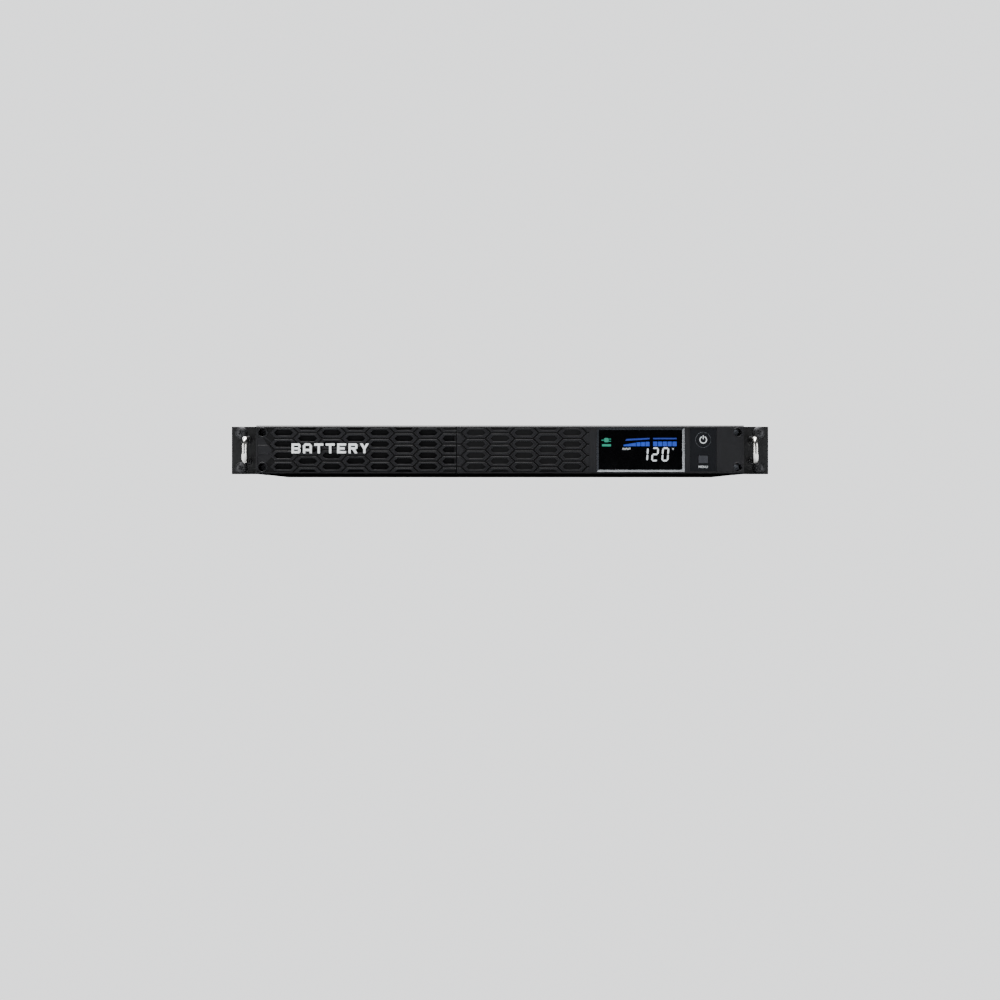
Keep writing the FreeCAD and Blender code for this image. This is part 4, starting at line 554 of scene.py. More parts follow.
def soften(
    node: str, width: float, *finishes: Finish, name: str, steps: int = 2, shortest: float = 1.3
) -> Piece:
    """Replaces a CAD node by a copy whose sharp edges are rounded as the real part's are.

    Args:
        node: the CAD node.
        width: the rounding in millimetres, or 0 for none.
        *finishes: one finish, or one for each of its shells from left to right, in turn.
        name: the piece's name.
        steps: faces across each rounding.
        shortest: the shortest edge that is rounded, in millimetres, which leaves small holes crisp.

    Returns:
        The piece, riding on the node's body.
    """
    copy = merged_copy(node)
    shells = islands(copy) if len(finishes) > 1 else []
    if len(shells) > 1:
        for i, shell in enumerate(shells):
            for face in shell:
                face.material_index = i % len(finishes)
    rounded = copy.edges.layers.float.new("bevel_weight_edge")
    for edge in copy.edges:
        sharp = len(edge.link_faces) == 2 and edge.calc_face_angle(0.0) > math.radians(32)
        edge[rounded] = float(sharp and edge.calc_length() >= shortest * MM)
    mesh = mesh_of(name, copy)
    loaded_normals = mesh.attributes.get("custom_normal")
    if loaded_normals:
        mesh.attributes.remove(loaded_normals)
    made = placed(name, mesh, *finishes)
    if width:
        bevel = made.modifiers.new("edges", "BEVEL")
        bevel.width = width * MM
        bevel.segments = steps
        bevel.limit_method = "WEIGHT"
        bevel.use_clamp_overlap = False
        settled(made)
    smoothed(made)
    return fit(made, *record_of(node), node)


def skin(source: Sketch, loops: Sequence[Sequence[Vector]], capped: bool = False) -> None:
    """Joins loops of equal count side to side into a closed shape.

    Args:
        source: the mesh that gets it.
        loops: the loops in order.
        capped: True closes the first and last loop with a face, False joins them to each other.
    """
    rows = [[source.verts.new(p) for p in loop] for loop in loops]
    if capped:
        source.faces.new(rows[0])
    for row, following in zip(rows, rows[1:] if capped else rows[1:] + rows[:1]):
        for i, corner in enumerate(row):
            j = (i + 1) % len(row)
            source.faces.new((corner, row[j], following[j], following[i]))
    if capped:
        source.faces.new(rows[-1])


def plate(source: Sketch, outline: Sequence[Point], front: float, back: float) -> None:
    """Adds a closed plate with an outline in X and Z, between two Y planes, all in metres."""
    near = [source.verts.new((x, front, z)) for x, z in outline]
    far = [source.verts.new((x, back, z)) for x, z in outline]
    source.faces.new(near)
    source.faces.new(list(reversed(far)))
    for i, corner in enumerate(near):
        j = (i + 1) % len(near)
        source.faces.new((corner, far[i], far[j], near[j]))


def oblong(
    left: float, low: float, right: float, high: float, round_off: float = 0.0, steps: int = 5
) -> list[Point]:
    """A rectangle's outline, with rounded corners.

    Args:
        left: lowest X.
        low: lowest Z.
        right: highest X.
        high: highest Z.
        round_off: corner radius.
        steps: sides of each corner.

    Returns:
        The outline's points.
    """
    if not round_off:
        return [(left, low), (right, low), (right, high), (left, high)]
    spots = []
    centres = [
        (right - round_off, low + round_off, -90),
        (right - round_off, high - round_off, 0),
        (left + round_off, high - round_off, 90),
        (left + round_off, low + round_off, 180),
    ]
    for x, z, start in centres:
        for i in range(steps + 1):
            turn = math.radians(start + 90 * i / steps)
            spots.append((x + round_off * math.cos(turn), z + round_off * math.sin(turn)))
    return spots


def turned_ring(
    source: Sketch, centre: Vector, section: Sequence[Point], steps: int = 40, axis: str = "Y"
) -> None:
    """Adds a ring turned round a line through a centre.

    Args:
        source: the mesh that gets it.
        centre: a point on the line.
        section: closed section as radius and distance along the line.
        steps: sides of the circle.
        axis: the line's direction, Y or Z.
    """
    loops = []
    for radius, along in section:
        loop = []
        for i in range(steps):
            turn = 2 * math.pi * i / steps
            across, up = radius * math.cos(turn), radius * math.sin(turn)
            offset = Vector((across, along, up)) if axis == "Y" else Vector((across, up, along))
            loop.append(centre + offset)
        loops.append(loop)
    skin(source, loops)


def lettering(
    name: str, words: str, centre: Vector, high: float, thick: float, finish: Finish
) -> Piece:
    """Makes a plain word that faces the front.

    Args:
        name: the piece's name.
        words: the word.
        centre: the middle of its back.
        high: capital height.
        thick: how far it stands out.
        finish: its finish.

    Returns:
        A mesh object at the origin.
    """
    drawn = bpy.data.curves.new(name, "FONT")
    drawn.body = words
    drawn.size = 1.0
    drawn.offset = 0.012
    drawn.space_character = 1.08
    drawn.extrude = 0.5
    holder = placed(name + "_drawn", drawn)
    graph = bpy.context.evaluated_depsgraph_get()
    mesh = bpy.data.meshes.new_from_object(holder.evaluated_get(graph))
    bpy.data.objects.remove(holder)
    xs, ys = [v.co.x for v in mesh.vertices], [v.co.y for v in mesh.vertices]
    scale = high / (max(ys) - min(ys))
    middle = Vector(((max(xs) + min(xs)) / 2, (max(ys) + min(ys)) / 2, -0.5))
    mesh.transform(Matrix.Translation(-middle))
    mesh.transform(Matrix.Diagonal((scale, scale, thick, 1.0)))
    mesh.transform(Matrix.Rotation(math.pi / 2, 4, "X"))
    mesh.transform(Matrix.Translation(centre))
    mesh.materials.clear()
    return placed(name, mesh, finish)


# ---- patterns ----------------------------------------------------------------------------------


class Pattern:
    """A Geometry Nodes tree with named inputs, which is applied to give a plain mesh."""

    def __init__(self, name: str, inputs: dict[str, str]) -> None:
        """Starts a tree with its input sockets, label to kind, and a Finish input."""
        self.tree = bpy.data.node_groups.new(name, "GeometryNodeTree")
        face = self.tree.interface
        self.sockets = {}
        for label, kind in {**inputs, "Finish": "Material"}.items():
            made = face.new_socket(label, in_out="INPUT", socket_type="NodeSocket" + kind)
            self.sockets[label] = made.identifier
        face.new_socket("Geometry", in_out="OUTPUT", socket_type="NodeSocketGeometry")
        self.source = add(self.tree, "NodeGroupInput")

    def input(self, label: str) -> Socket:
        """The output socket that carries an input of the tree."""
        return self.source.outputs[label]

    def copies(self, points: Socket, **turned: Socket) -> Socket:
        """Puts the Shape input at points, with Rotation or Scale where they are given."""
        shape = add(self.tree, "GeometryNodeObjectInfo", {"Object": self.input("Shape")}).outputs["Geometry"]
        values = {"Points": points, "Instance": shape, **turned}
        return add(self.tree, "GeometryNodeInstanceOnPoints", values).outputs[0]

    def close(self, geometry: Socket) -> None:
        """Ends the tree with real meshes in the given finish, round the Centre input where there is one."""
        if "Centre" in self.sockets:
            values = {"Geometry": geometry, "Translation": self.input("Centre")}
            geometry = add(self.tree, "GeometryNodeTransform", values).outputs[0]
        real = add(self.tree, "GeometryNodeRealizeInstances", {"Geometry": geometry}).outputs[0]
        values = {"Geometry": real, "Material": self.input("Finish")}
        coated = add(self.tree, "GeometryNodeSetMaterial", values).outputs[0]
        add(self.tree, "NodeGroupOutput", {"Geometry": coated})

    def make(self, name: str, finish: Finish, **values: object) -> Piece:
        """Applies the tree.

        Args:
            name: the piece's name.
            finish: its finish.
            **values: input labels, with _ for a space, to values.

        Returns:
            A mesh object at the origin, with no modifier.
        """
        made = placed(name, bpy.data.meshes.new(name))
        modifier = made.modifiers.new("pattern", "NODES")
        modifier.node_group = self.tree
        modifier[self.sockets["Finish"]] = finish.material()
        for label, value in values.items():
            modifier[self.sockets[label.replace("_", " ")]] = value
        settled(made)
        made.data.materials.clear()
        made.data.materials.append(finish.material())
        return made


class GridPattern(Pattern):
    """One shape in columns and rows."""

    def __init__(self) -> None:
        """Builds the tree: a line of columns, each a line of rows."""
        kinds = {
            "Shape": "Object",
            "Start": "Vector",
            "Columns": "Int",
            "Column Step": "Vector",
            "Rows": "Int",
            "Row Step": "Vector",
        }
        super().__init__("grid_pattern", kinds)
        columns = self.line({"Count": "Columns", "Start Location": "Start", "Offset": "Column Step"})
        rows = self.line({"Count": "Rows", "Offset": "Row Step"})
        spread = add(self.tree, "GeometryNodeInstanceOnPoints", {"Points": columns, "Instance": rows})
        spots = add(self.tree, "GeometryNodeRealizeInstances", {"Geometry": spread.outputs[0]})
        self.close(self.copies(spots.outputs[0]))

    def line(self, sources: dict[str, str]) -> Socket:
        """A line of points, with its sockets fed by the tree's inputs."""
        values = {socket: self.input(label) for socket, label in sources.items()}
        return add(self.tree, "GeometryNodeMeshLine", values).outputs[0]


class TurnPattern(Pattern):
    """One shape repeated round a vertical line, each copy turned to face it."""

    def __init__(self) -> None:
        """Builds the tree: a circle of points, with each copy turned by its place on it."""
        kinds = {
            "Shape": "Object",
            "Centre": "Vector",
            "Copies": "Int",
            "Radius": "Float",
        }
        super().__init__("turn_pattern", kinds)
        tree = self.tree
        values = {"Vertices": self.input("Copies"), "Radius": self.input("Radius")}
        circle = add(tree, "GeometryNodeMeshCircle", values).outputs[0]
        number = add(tree, "GeometryNodeInputIndex").outputs[0]
        parts = {0: number, 1: self.input("Copies")}
        share = add(tree, "ShaderNodeMath", parts, operation="DIVIDE").outputs[0]
        turn = add(tree, "ShaderNodeMath", {0: share, 1: 2 * math.pi}, operation="MULTIPLY").outputs[0]
        facing = add(tree, "ShaderNodeCombineXYZ", {"Z": turn}).outputs[0]
        self.close(self.copies(circle, Rotation=facing))


class ScatterPattern(Pattern):
    """One shape strewn over a flat rectangle, never too near its neighbours, turned by quarter turns."""

    def __init__(self) -> None:
        """Builds the tree: points on a plate by a fixed seed, with a chance size and quarter turn each."""
        kinds = {
            "Shape": "Object",
            "Centre": "Vector",
            "Length": "Float",
            "Width": "Float",
            "Spacing": "Float",
            "Density": "Float",
            "Seed": "Int",
        }
        super().__init__("scatter_pattern", kinds)
        tree, seed = self.tree, self.input("Seed")
        sides = {"Size X": self.input("Length"), "Size Y": self.input("Width")}
        field = add(tree, "GeometryNodeMeshGrid", sides).outputs[0]
        apart = {"Distance Min": self.input("Spacing"), "Density Max": self.input("Density")}
        values = {"Mesh": field, "Seed": seed, **apart}
        kind = "GeometryNodeDistributePointsOnFaces"
        spots = add(tree, kind, values, distribute_method="POISSON").outputs[0]
        quarter = add(tree, "FunctionNodeRandomValue", {4: 0, 5: 3, "Seed": seed}, data_type="INT").outputs[2]
        turn = add(tree, "ShaderNodeMath", {0: quarter, 1: math.pi / 2}, operation="MULTIPLY").outputs[0]
        facing = add(tree, "ShaderNodeCombineXYZ", {"Z": turn}).outputs[0]
        spread = {2: 0.6, 3: 1.3, "Seed": seed}
        size = add(tree, "FunctionNodeRandomValue", spread, data_type="FLOAT").outputs[1]
        self.close(self.copies(spots, Rotation=facing, Scale=size))


def joined(name: str, pieces: Sequence[Piece]) -> Piece:
    """Joins mesh objects of one finish into one named piece."""
    whole = bmesh.new()
    for piece in pieces:
        whole.from_mesh(piece.data)
    mesh = mesh_of(name, whole)
    mesh.materials.append(pieces[0].data.materials[0])
    for piece in pieces:
        bpy.data.objects.remove(piece)
    return placed(name, mesh)


# ---- front mouldings ---------------------------------------------------------------------------


@dataclass
class Grille:
    """The raised cells of the front: a rim round each pocket, and blank cells where the pockets end."""

    across: float = 21.35 * MM
    up: float = 10.07 * MM
    front: float = -25.0 * MM
    field: float = -24.2 * MM
    pocket_high: float = 2.6 * MM
    pocket_tip: float = 8.6 * MM
    rim_high: float = 4.25 * MM
    rim_tip: float = 12.0 * MM
    edge: float = 0.3 * MM
    field_top: float = 19.86 * MM

    def hexagon(self, high: float, tip: float, y: float) -> list[Vector]:
        """A long six-sided loop with slants at 45 degrees."""
        flat = tip - high
        spots = [(-tip, 0), (-flat, -high), (flat, -high), (tip, 0), (flat, high), (-flat, high)]
        return [Vector((x, y, z)) for x, z in spots]

    def loop(self, inset: float, y: float, outer: bool) -> list[Vector]:
        """A loop of the rim's section, moved evenly off the outer or inner side."""
        high, tip = (self.rim_high, self.rim_tip) if outer else (self.pocket_high, self.pocket_tip)
        return self.hexagon(high + inset, tip + inset * math.sqrt(2), y)

    def rim(self) -> Piece:
        """A single rim, round its own middle."""
        drawn = bmesh.new()
        shoulder = self.front + self.edge
        section = [
            self.loop(0, self.field + 0.02 * MM, False),
            self.loop(0, shoulder, False),
            self.loop(self.edge, self.front, False),
            self.loop(-self.edge * 1.4, self.front, True),
            self.loop(-self.edge * 0.3, shoulder, True),
            self.loop(0, self.field + 0.02 * MM, True),
        ]
        skin(drawn, section)
        return piece_from("rim_shape", drawn, ABS)

    def blank(self) -> Piece:
        """A single cell with no pocket, round its own middle."""
        drawn = bmesh.new()
        rows = [
            self.loop(0, self.field + 0.02 * MM, True),
            self.loop(-self.edge * 0.3, self.front + self.edge, True),
            self.loop(-self.edge * 1.4, self.front, True),
        ]
        skin(drawn, rows, capped=True)
        return piece_from("blank_shape", drawn, ABS)

    def columns(self, pattern: GridPattern, shape: Piece, first: int, count: int, rows: int) -> Piece:
        """Columns two cells apart, each with its rows round the middle line."""
        return pattern.make(
            "columns",
            ABS,
            Shape=shape,
            Start=(first * self.across, 0.0, -self.up * (rows - 1) / 2),
            Columns=count,
            Column_Step=(self.across * 2, 0.0, 0.0),
            Rows=rows,
            Row_Step=(0.0, 0.0, self.up),
        )

    def trimmed(self, piece: Piece, left: float, right: float) -> Piece:
        """Cuts cells off at the field's four sides and closes what is cut."""
        whole = bmesh.new()
        whole.from_mesh(piece.data)
        for at, way in (
            ((left, 0, 0), (-1, 0, 0)),
            ((right, 0, 0), (1, 0, 0)),
            ((0, 0, self.field_top), (0, 0, 1)),
            ((0, 0, -self.field_top), (0, 0, -1)),
        ):
            everything = whole.verts[:] + whole.edges[:] + whole.faces[:]
            done = bmesh.ops.bisect_plane(whole, geom=everything, plane_co=at, plane_no=way, clear_outer=True)
            edges = [e for e in done["geom_cut"] if isinstance(e, bmesh.types.BMEdge)]
            bmesh.ops.holes_fill(whole, edges=edges, sides=0)
        bmesh.ops.recalc_face_normals(whole, faces=whole.faces)
        whole.to_mesh(piece.data)
        whole.free()
        return piece

    def build(self) -> None:
        """Makes the cells of the door and of the bezel."""
        pattern = GridPattern()
        rim, blank = self.rim(), self.blank()
        door_low, door_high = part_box("battery_door")
        bezel_low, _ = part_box("front_bezel")
        sets = {
            ("door_grille", "battery_cover"): [(rim, -9, 4, 4), (rim, -8, 4, 5), (blank, -10, 1, 1)],
            ("bezel_grille", "case"): [(rim, -1, 3, 4), (rim, 0, 2, 5), (blank, 4, 1, 5), (blank, -2, 1, 5)],
        }
        limits = {
            "door_grille": (door_low.x + 1.5 * MM, door_high.x - 0.1 * MM),
            "bezel_grille": (bezel_low.x + 0.1 * MM, 79.0 * MM),
        }
        for (name, body), groups in sets.items():
            whole = joined(name, [self.columns(pattern, *group) for group in groups])
            fit(self.trimmed(whole, *limits[name]), body, "black_abs")
        for shape in (rim, blank):
            bpy.data.objects.remove(shape)


@dataclass
class Mouldings:
    """The battery door and the bezel, with the rings round their screws and the bar that ends the grille."""

    recess_across: float = 211.0 * MM
    recess_up: float = 15.5 * MM
    recess_radius: float = 3.5 * MM
    recess_left: float = -206.5 * MM
    seam: float = -38.5 * MM
    field_right: float = 79.4 * MM
    pocket_back: float = -22.4 * MM
    front: float = -25.0 * MM
    field: float = -24.2 * MM

    def build(self) -> None:
        """Builds both mouldings' pieces."""
        door = soften("battery_door", 0.14, ABS, SHADED_FIELD_ABS, SHADED_POCKET_ABS, name="door_shell")
        bezel = soften("front_bezel", 0.14, ABS, SHADED_FIELD_ABS, SHADED_POCKET_ABS, name="bezel_shell")
        self.paint_recess_shade(door, self.recess_left, self.seam, 2)
        self.paint_recess_shade(bezel, self.seam, self.field_right, 1)
        Grille().build()
        self.bosses("door_screw_rings", -1, "battery_cover", self.field)
        self.bosses("bezel_screw_rings", 1, "case", self.front)
        soften("badge", 0.22, LETTERS, name="badge_letters", shortest=0.0)
        dress(OXIDE, "door_screws")
        dress(PASSIVATED, "bezel_screws")

    def paint_recess_shade(self, shell: Piece, left: float, right: float, floor: int) -> None:
        """Paints shade on a shell's sunk field and pockets, by giving them the darker, duller finishes.

        Args:
            shell: the softened moulding, with the three finishes.
            left: where its field begins.
            right: where its field ends.
            floor: the number of the painted shade finish for its pocket floors.
        """
        # Sunk faces get darker copies of the moulding: painted shade in the field, on the pocket walls and on
        # the pocket floors.
        for face in shell.data.polygons:
            spot = face.center
            inside = left < spot.x < right and abs(spot.z) < 20 * MM
            sunk = inside and self.front + 0.1 * MM < spot.y < self.pocket_back
            wall = abs(face.normal.y) < 0.7
            depth = 1 if spot.y < self.field + 0.1 * MM else 2 if wall else floor
            face.material_index = depth if sunk else 0

    def bosses(self, name: str, side: int, body: str, base: float) -> None:
        """A low rounded ring round each screw recess of one moulding.

        Args:
            name: the piece's name.
            side: -1 for the left end, 1 for the right.
            body: the body that carries it.
            base: the face that the rings stand on.
        """
        drawn = bmesh.new()
        inner, outer = self.recess_radius + 0.02 * MM, self.recess_radius + 1.25 * MM
        top = self.front - 0.25 * MM
        for up in (-1, 1):
            centre = Vector((side * self.recess_across, 0, up * self.recess_up))
            section = [
                (inner, base + 0.05 * MM),
                (inner, top + 0.3 * MM),
                (inner + 0.3 * MM, top),
                (outer - 0.45 * MM, top),
                (outer, top + 0.45 * MM),
                (outer, base + 0.05 * MM),
            ]
            turned_ring(drawn, centre, section, 36)
        made = piece_from(name, drawn, ABS)
        smoothed(made, 40)
        fit(made, body, "black_abs")


# ---- display -----------------------------------------------------------------------------------


class Segment(Enum):
    """The seven bars of a figure, by where they stand."""

    TOP = "a"
    UPPER_RIGHT = "b"
    LOWER_RIGHT = "c"
    BOTTOM = "d"
    LOWER_LEFT = "e"
    UPPER_LEFT = "f"
    MIDDLE = "g"


FIGURES = {
    "0": "abcdef",
    "1": "bc",
    "2": "abged",
}


@dataclass
class Display:
    """The lit display: window, silver trim, and the marks, bars and figures that show through it."""

    lean: float = 0.07
    ink: float = 0.05 * MM
    # Width of the silver band along the trim's bottom and right; the rest of the trim is painted shade.
    bright: float = 2.0 * MM
    figure_wide: float = 6.2 * MM
    figure_high: float = 12.5 * MM
    figure_pen: float = 1.45 * MM

    def __post_init__(self) -> None:
        """Reads where the window is."""
        low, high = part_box("lcd_lens")
        self.front = low.y
        self.left, self.right = low.x, high.x
        self.low, self.high = low.z, high.z

    def build(self) -> None:
        """Builds the display's pieces."""
        self.trim()
        dress(WINDOW, "lcd_lens")
        dress(EPOXY, "lcd_panel", "switch_bases")
        soften("display_board", 0, BOARD, BEIGE, name="display_board_parts")
        soften("display_cable", 0, FLAT_CABLE, BEIGE, name="display_cable_parts")
        self.print_on("plug_mark", self.plug_mark(), TEAL)
        self.print_on("level_bars", self.level_bars(), BLUE)
        self.print_on("level_lines", self.level_lines(), DEEP_BLUE)
        self.print_on("voltage_figures", self.figures("120"), WHITE_LIT)
        words = (("input_word", "INPUT", 24.7, 18.5, 1.75), ("volt_sign", "V", 65.9, 18.4, 1.9))
        for name, word, x, z, high in words:
            centre = Vector((self.left + x * MM, self.front, self.low + z * MM))
            fit(lettering(name, word, centre, high * MM, self.ink, WHITE_LIT), "case", "lcd_glass")

    def trim(self) -> None:
        """The frame: silver along its bottom and right, and a darker copy along its left and top as painted
        shade.
        """
        frame_piece = soften("lcd_trim", 0.12, SHADED_TRIM, name="display_trim")
        low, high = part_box("lcd_trim")
        frame_piece.data.materials.append(SILVER.material())
        # Faces within the band along the bottom and right get the silver; the rest get the darker copy,
        # painted shade where the frame faces down and away from the light.
        for face in frame_piece.data.polygons:
            along = (high.x - face.center.x) + (low.z - face.center.z)
            bottom = face.center.z < low.z + self.bright
            right = face.center.x > high.x - self.bright
            face.material_index = int((bottom and along > -1.0) or right)

    def print_on(self, name: str, outlines: list[list[Point]], finish: Finish) -> None:
        """Makes flat lit shapes just on the window, given as millimetres from its lower left corner."""
        drawn = bmesh.new()
        for outline in outlines:
            spots = [(self.left + x * MM, self.low + z * MM) for x, z in outline]
            plate(drawn, spots, self.front - self.ink, self.front)
        fit(piece_from(name, drawn, finish), "case", "lcd_glass")

    def plug_mark(self) -> list[list[Point]]:
        """A small plug with its two pins and a lead, and a dash below it."""
        x, z = 2.4, 23.0
        return [
            oblong(x + 2.2, z + 1.4, x + 6.4, z + 5.2, 1.2),
            oblong(x + 6.5, z + 3.9, x + 8.4, z + 4.6),
            oblong(x + 6.5, z + 1.9, x + 8.4, z + 2.6),
            oblong(x, z + 2.8, x + 2.1, z + 3.7),
            oblong(x + 0.4, z - 2.3, x + 8.4, z - 0.3, 0.4),
        ]

    def level_bars(self) -> list[list[Point]]:
        """The load bar, which grows from left to right, and the five blocks of the battery level."""
        z = 20.9
        shapes = [[(22.0, z), (33.0, z), (33.0, z + 3.0), (22.0, z + 1.3)]]
        for i in range(3):
            left = 33.5 + 4.0 * i
            shapes.append(oblong(left, z, left + 3.5, z + 3.4 + 0.25 * i, 0.3))
        for i in range(5):
            left = 48.2 + 4.3 * i
            shapes.append(oblong(left, z, left + 3.7, z + 4.1, 0.3))
        return shapes

    def level_lines(self) -> list[list[Point]]:
        """The thin lines over both groups of blocks."""
        z = 26.1
        return [
            [(23.5, z - 0.4), (45.0, z + 0.9), (45.0, z + 2.2), (24.5, z + 1.2)],
            oblong(48.2, z + 0.9, 69.1, z + 2.2, 0.4),
        ]

    def figures(self, number: str) -> list[list[Point]]:
        """The large leaning figures."""
        shapes = []
        wide, high, pen = (value / MM for value in (self.figure_wide, self.figure_high, self.figure_pen))
        left, low = 37.3, 7.4
        for place, digit in enumerate(number):
            start = left + place * (wide + 2.9)
            for segment in Segment:
                if segment.value in FIGURES[digit]:
                    shapes.append(
                        [(start + x + z * self.lean, low + z) for x, z in self.bar(segment, wide, high, pen)]
                    )
        return shapes

    def bar(self, segment: Segment, wide: float, high: float, pen: float) -> list[Point]:
        """One bar of a figure, with pointed ends.

        Args:
            segment: which bar.
            wide: the figure's width.
            high: the figure's height.
            pen: the bar's thickness.

        Returns:
            The bar's outline from the figure's lower left corner.
        """
        gap = 0.14
        half = pen / 2
        middle = high / 2
        level = {Segment.TOP: high - half, Segment.MIDDLE: middle, Segment.BOTTOM: half}
        if segment in level:
            z = level[segment]
            a, b = half + gap, wide - half - gap
            upper = [(b, z), (b - half, z + half), (a + half, z + half)]
            return [(a, z), (a + half, z - half), (b - half, z - half), *upper]
        x = wide - half if segment in (Segment.UPPER_RIGHT, Segment.LOWER_RIGHT) else half
        above = segment in (Segment.UPPER_RIGHT, Segment.UPPER_LEFT)
        a, b = (middle + gap, high - half - gap) if above else (half + gap, middle - gap)
        left = [(x, b), (x - half, b - half), (x - half, a + half)]
        return [(x, a), (x + half, a + half), (x + half, b - half), *left]


@dataclass
class ButtonPanel:
    """The button panel with its power button, lit mark, menu button and label."""

    dot: float = 0.2 * MM
    dots_round: int = 40
    dots_radius: float = 6.75 * MM
    ink: float = 0.05 * MM

    def build(self) -> None:
        """Builds the panel's pieces."""
        soften("button_panel", 0.15, FILM, name="panel_film")
        soften("power_button", 0.35, FILM, name="power_cap", steps=3, shortest=0.0)
        soften("setup_button", 0.3, KEY, name="menu_cap", steps=3, shortest=0.0)
        dress(GUIDE_LIT, "power_icon")
        self.dots()
        self.ribs()
        low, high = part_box("setup_button")
        panel_low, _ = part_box("button_panel")
        centre = Vector(((low.x + high.x) / 2, panel_low.y, low.z - 2.3 * MM))
        fit(lettering("menu_word", "MENU", centre, 2.1 * MM, 0.05 * MM, INK), "case", "badge_white")

    def dots(self) -> None:
        """A ring of fine dots on the panel round the power button."""
        low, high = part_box("power_button")
        panel_low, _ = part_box("button_panel")
        centre = (low + high) / 2
        drawn = bmesh.new()
        ends = {"radius1": self.dot, "radius2": self.dot * 0.8, "depth": self.ink}
        made = bmesh.ops.create_cone(drawn, cap_ends=True, segments=12, **ends)["verts"]
        bmesh.ops.translate(drawn, vec=(0, 0, self.ink / 2), verts=made)
        shape = piece_from("dot_shape", drawn, GREY_INK)
        places = {"Copies": self.dots_round, "Radius": self.dots_radius}
        ring = TurnPattern().make("power_dots", GREY_INK, Shape=shape, **places)
        bpy.data.objects.remove(shape)
        ring.data.transform(Matrix.Rotation(math.pi / 2, 4, "X"))
        ring.data.transform(Matrix.Translation((centre.x, panel_low.y, centre.z)))
        fit(ring, "case", "badge_white")

    def ribs(self) -> None:
        """Three fine grip ribs across the menu button."""
        low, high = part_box("setup_button")
        drawn = bmesh.new()
        middle = (low + high) / 2
        for i in (-1, 0, 1):
            z = middle.z + i * 1.55 * MM
            plate(
                drawn,
                oblong(middle.x - 3.3 * MM, z - 0.28 * MM, middle.x + 3.3 * MM, z + 0.28 * MM, 0.25 * MM, 3),
                low.y - 0.18 * MM,
                low.y + 0.05 * MM,
            )
        fit(piece_from("menu_ribs", drawn, KEY), "menu_key", "panel_film")


# ---- case, ears and handles --------------------------------------------------------------------


@dataclass
class Ears:
    """The rack ears and their handles, with a collar at each handle's foot."""

    collar: float = 1.0 * MM
    collar_long: float = 1.4 * MM
    rod: float = 2.5 * MM
    foot_up: float = 9.5 * MM
    slot_across: float = 232.55 * MM
    slot_up: float = 15.875 * MM
    cup: float = 5.6 * MM
    head: float = 4.1 * MM
    shank: float = 2.7 * MM

    def build(self) -> None:
        """Builds both ears' pieces."""
        for side in ("left", "right"):
            soften(side + "_ear", 0.3, POWDER, name=side + "_ear_plate")
            soften(side + "_handle", 0, PLATE, name=side + "_bail")
            self.collars(side)
        dress(OXIDE, "ear_screws")
        dress(ZINC, "handle_screws")
        self.rack_screws()

    def rack_screws(self) -> None:
        """A cross-head screw with a cup washer in each slot, drawn without its nut."""
        drawn = bmesh.new()
        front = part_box("left_ear")[0].y
        cup, head, shank = self.cup, self.head, self.shank
        lip = [(cup - 0.3 * MM, 0.7), (cup, 0.3), (cup, 0.0)]
        cup_section = [(shank, 0.0), (shank, 1.0), (head + 0.5 * MM, 1.5), *lip]
        spots = [(radius, front - out * MM) for radius, out in cup_section]
        turned_ring(drawn, Vector((0, 0, 0)), spots, 32)
        dome = [(head, 1.2), (head, 1.9), (head * 0.82, 2.5), (head * 0.45, 2.8)]
        turns = [math.pi * i / 16 for i in range(32)]
        rings = []
        for radius, out in [(shank, -3.5), (shank, 1.0), *dome]:
            y = front - out * MM
            rings.append([(radius * math.cos(turn), y, radius * math.sin(turn)) for turn in turns])
        skin(drawn, rings, capped=True)
        shape = piece_from("screw_shape", drawn, BLACK_ZINC)
        cutter = self.cross(front - 2.9 * MM, front - 1.5 * MM)
        recess = shape.modifiers.new("recess", "BOOLEAN")
        recess.object = cutter
        recess.solver = "EXACT"
        settled(shape)
        bpy.data.objects.remove(cutter)
        made = GridPattern().make(
            "rack_screws",
            BLACK_ZINC,
            Shape=shape,
            Start=(-self.slot_across, 0.0, -self.slot_up),
            Columns=2,
            Column_Step=(self.slot_across * 2, 0.0, 0.0),
            Rows=2,
            Row_Step=(0.0, 0.0, self.slot_up * 2),
        )
        bpy.data.objects.remove(shape)
        smoothed(made, 40)
        fit(made, "case", "black_screws")

    def cross(self, front: float, back: float) -> Piece:
        """The cross-shaped recess as a solid, turned a little off the upright."""
        drawn = bmesh.new()
        arm, pen = 2.3 * MM, 0.5 * MM
        spots = []
        for quarter in range(4):
            turn = math.pi / 2 * quarter + 0.5
            across, up = math.cos(turn), math.sin(turn)
            for x, z in ((arm, -pen), (arm, pen), (pen, pen)):
                spots.append((x * across - z * up, x * up + z * across))
        plate(drawn, spots, front, back)
        return piece_from("cross_shape", drawn, OXIDE)

    def collars(self, side: str) -> None:
        """A turned collar where each foot of a handle meets the ear."""
        low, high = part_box(side + "_handle")
        x = (low.x + high.x) / 2
        base = high.y
        drawn = bmesh.new()
        outer = self.rod + self.collar
        front = base - self.collar_long
        for up in (-1, 1):
            section = [
                (self.rod - 0.05 * MM, base),
                (self.rod - 0.05 * MM, front),
                (outer - 0.4 * MM, front),
                (outer, front + 0.4 * MM),
                (outer, base),
            ]
            turned_ring(drawn, Vector((x, 0, up * self.foot_up)), section, 32)
        made = piece_from(side + "_handle_collars", drawn, OXIDE)
        smoothed(made, 40)
        fit(made, "case", "black_screws")


@dataclass
class Case:
    """The sheet-metal case."""

    def build(self) -> None:
        """Builds the case's pieces."""
        soften("top_cover", 0.35, POWDER, name="cover_sheet")
        soften("chassis_tray", 0.3, POWDER, name="tray_sheet")
        soften("rear_panel", 0.15, POWDER, name="rear_sheet")
        dress(GALVANISED, "front_frame", "bay_divider")
        dress(OXIDE, "cover_screws")


# ---- battery pack ------------------------------------------------------------------------------


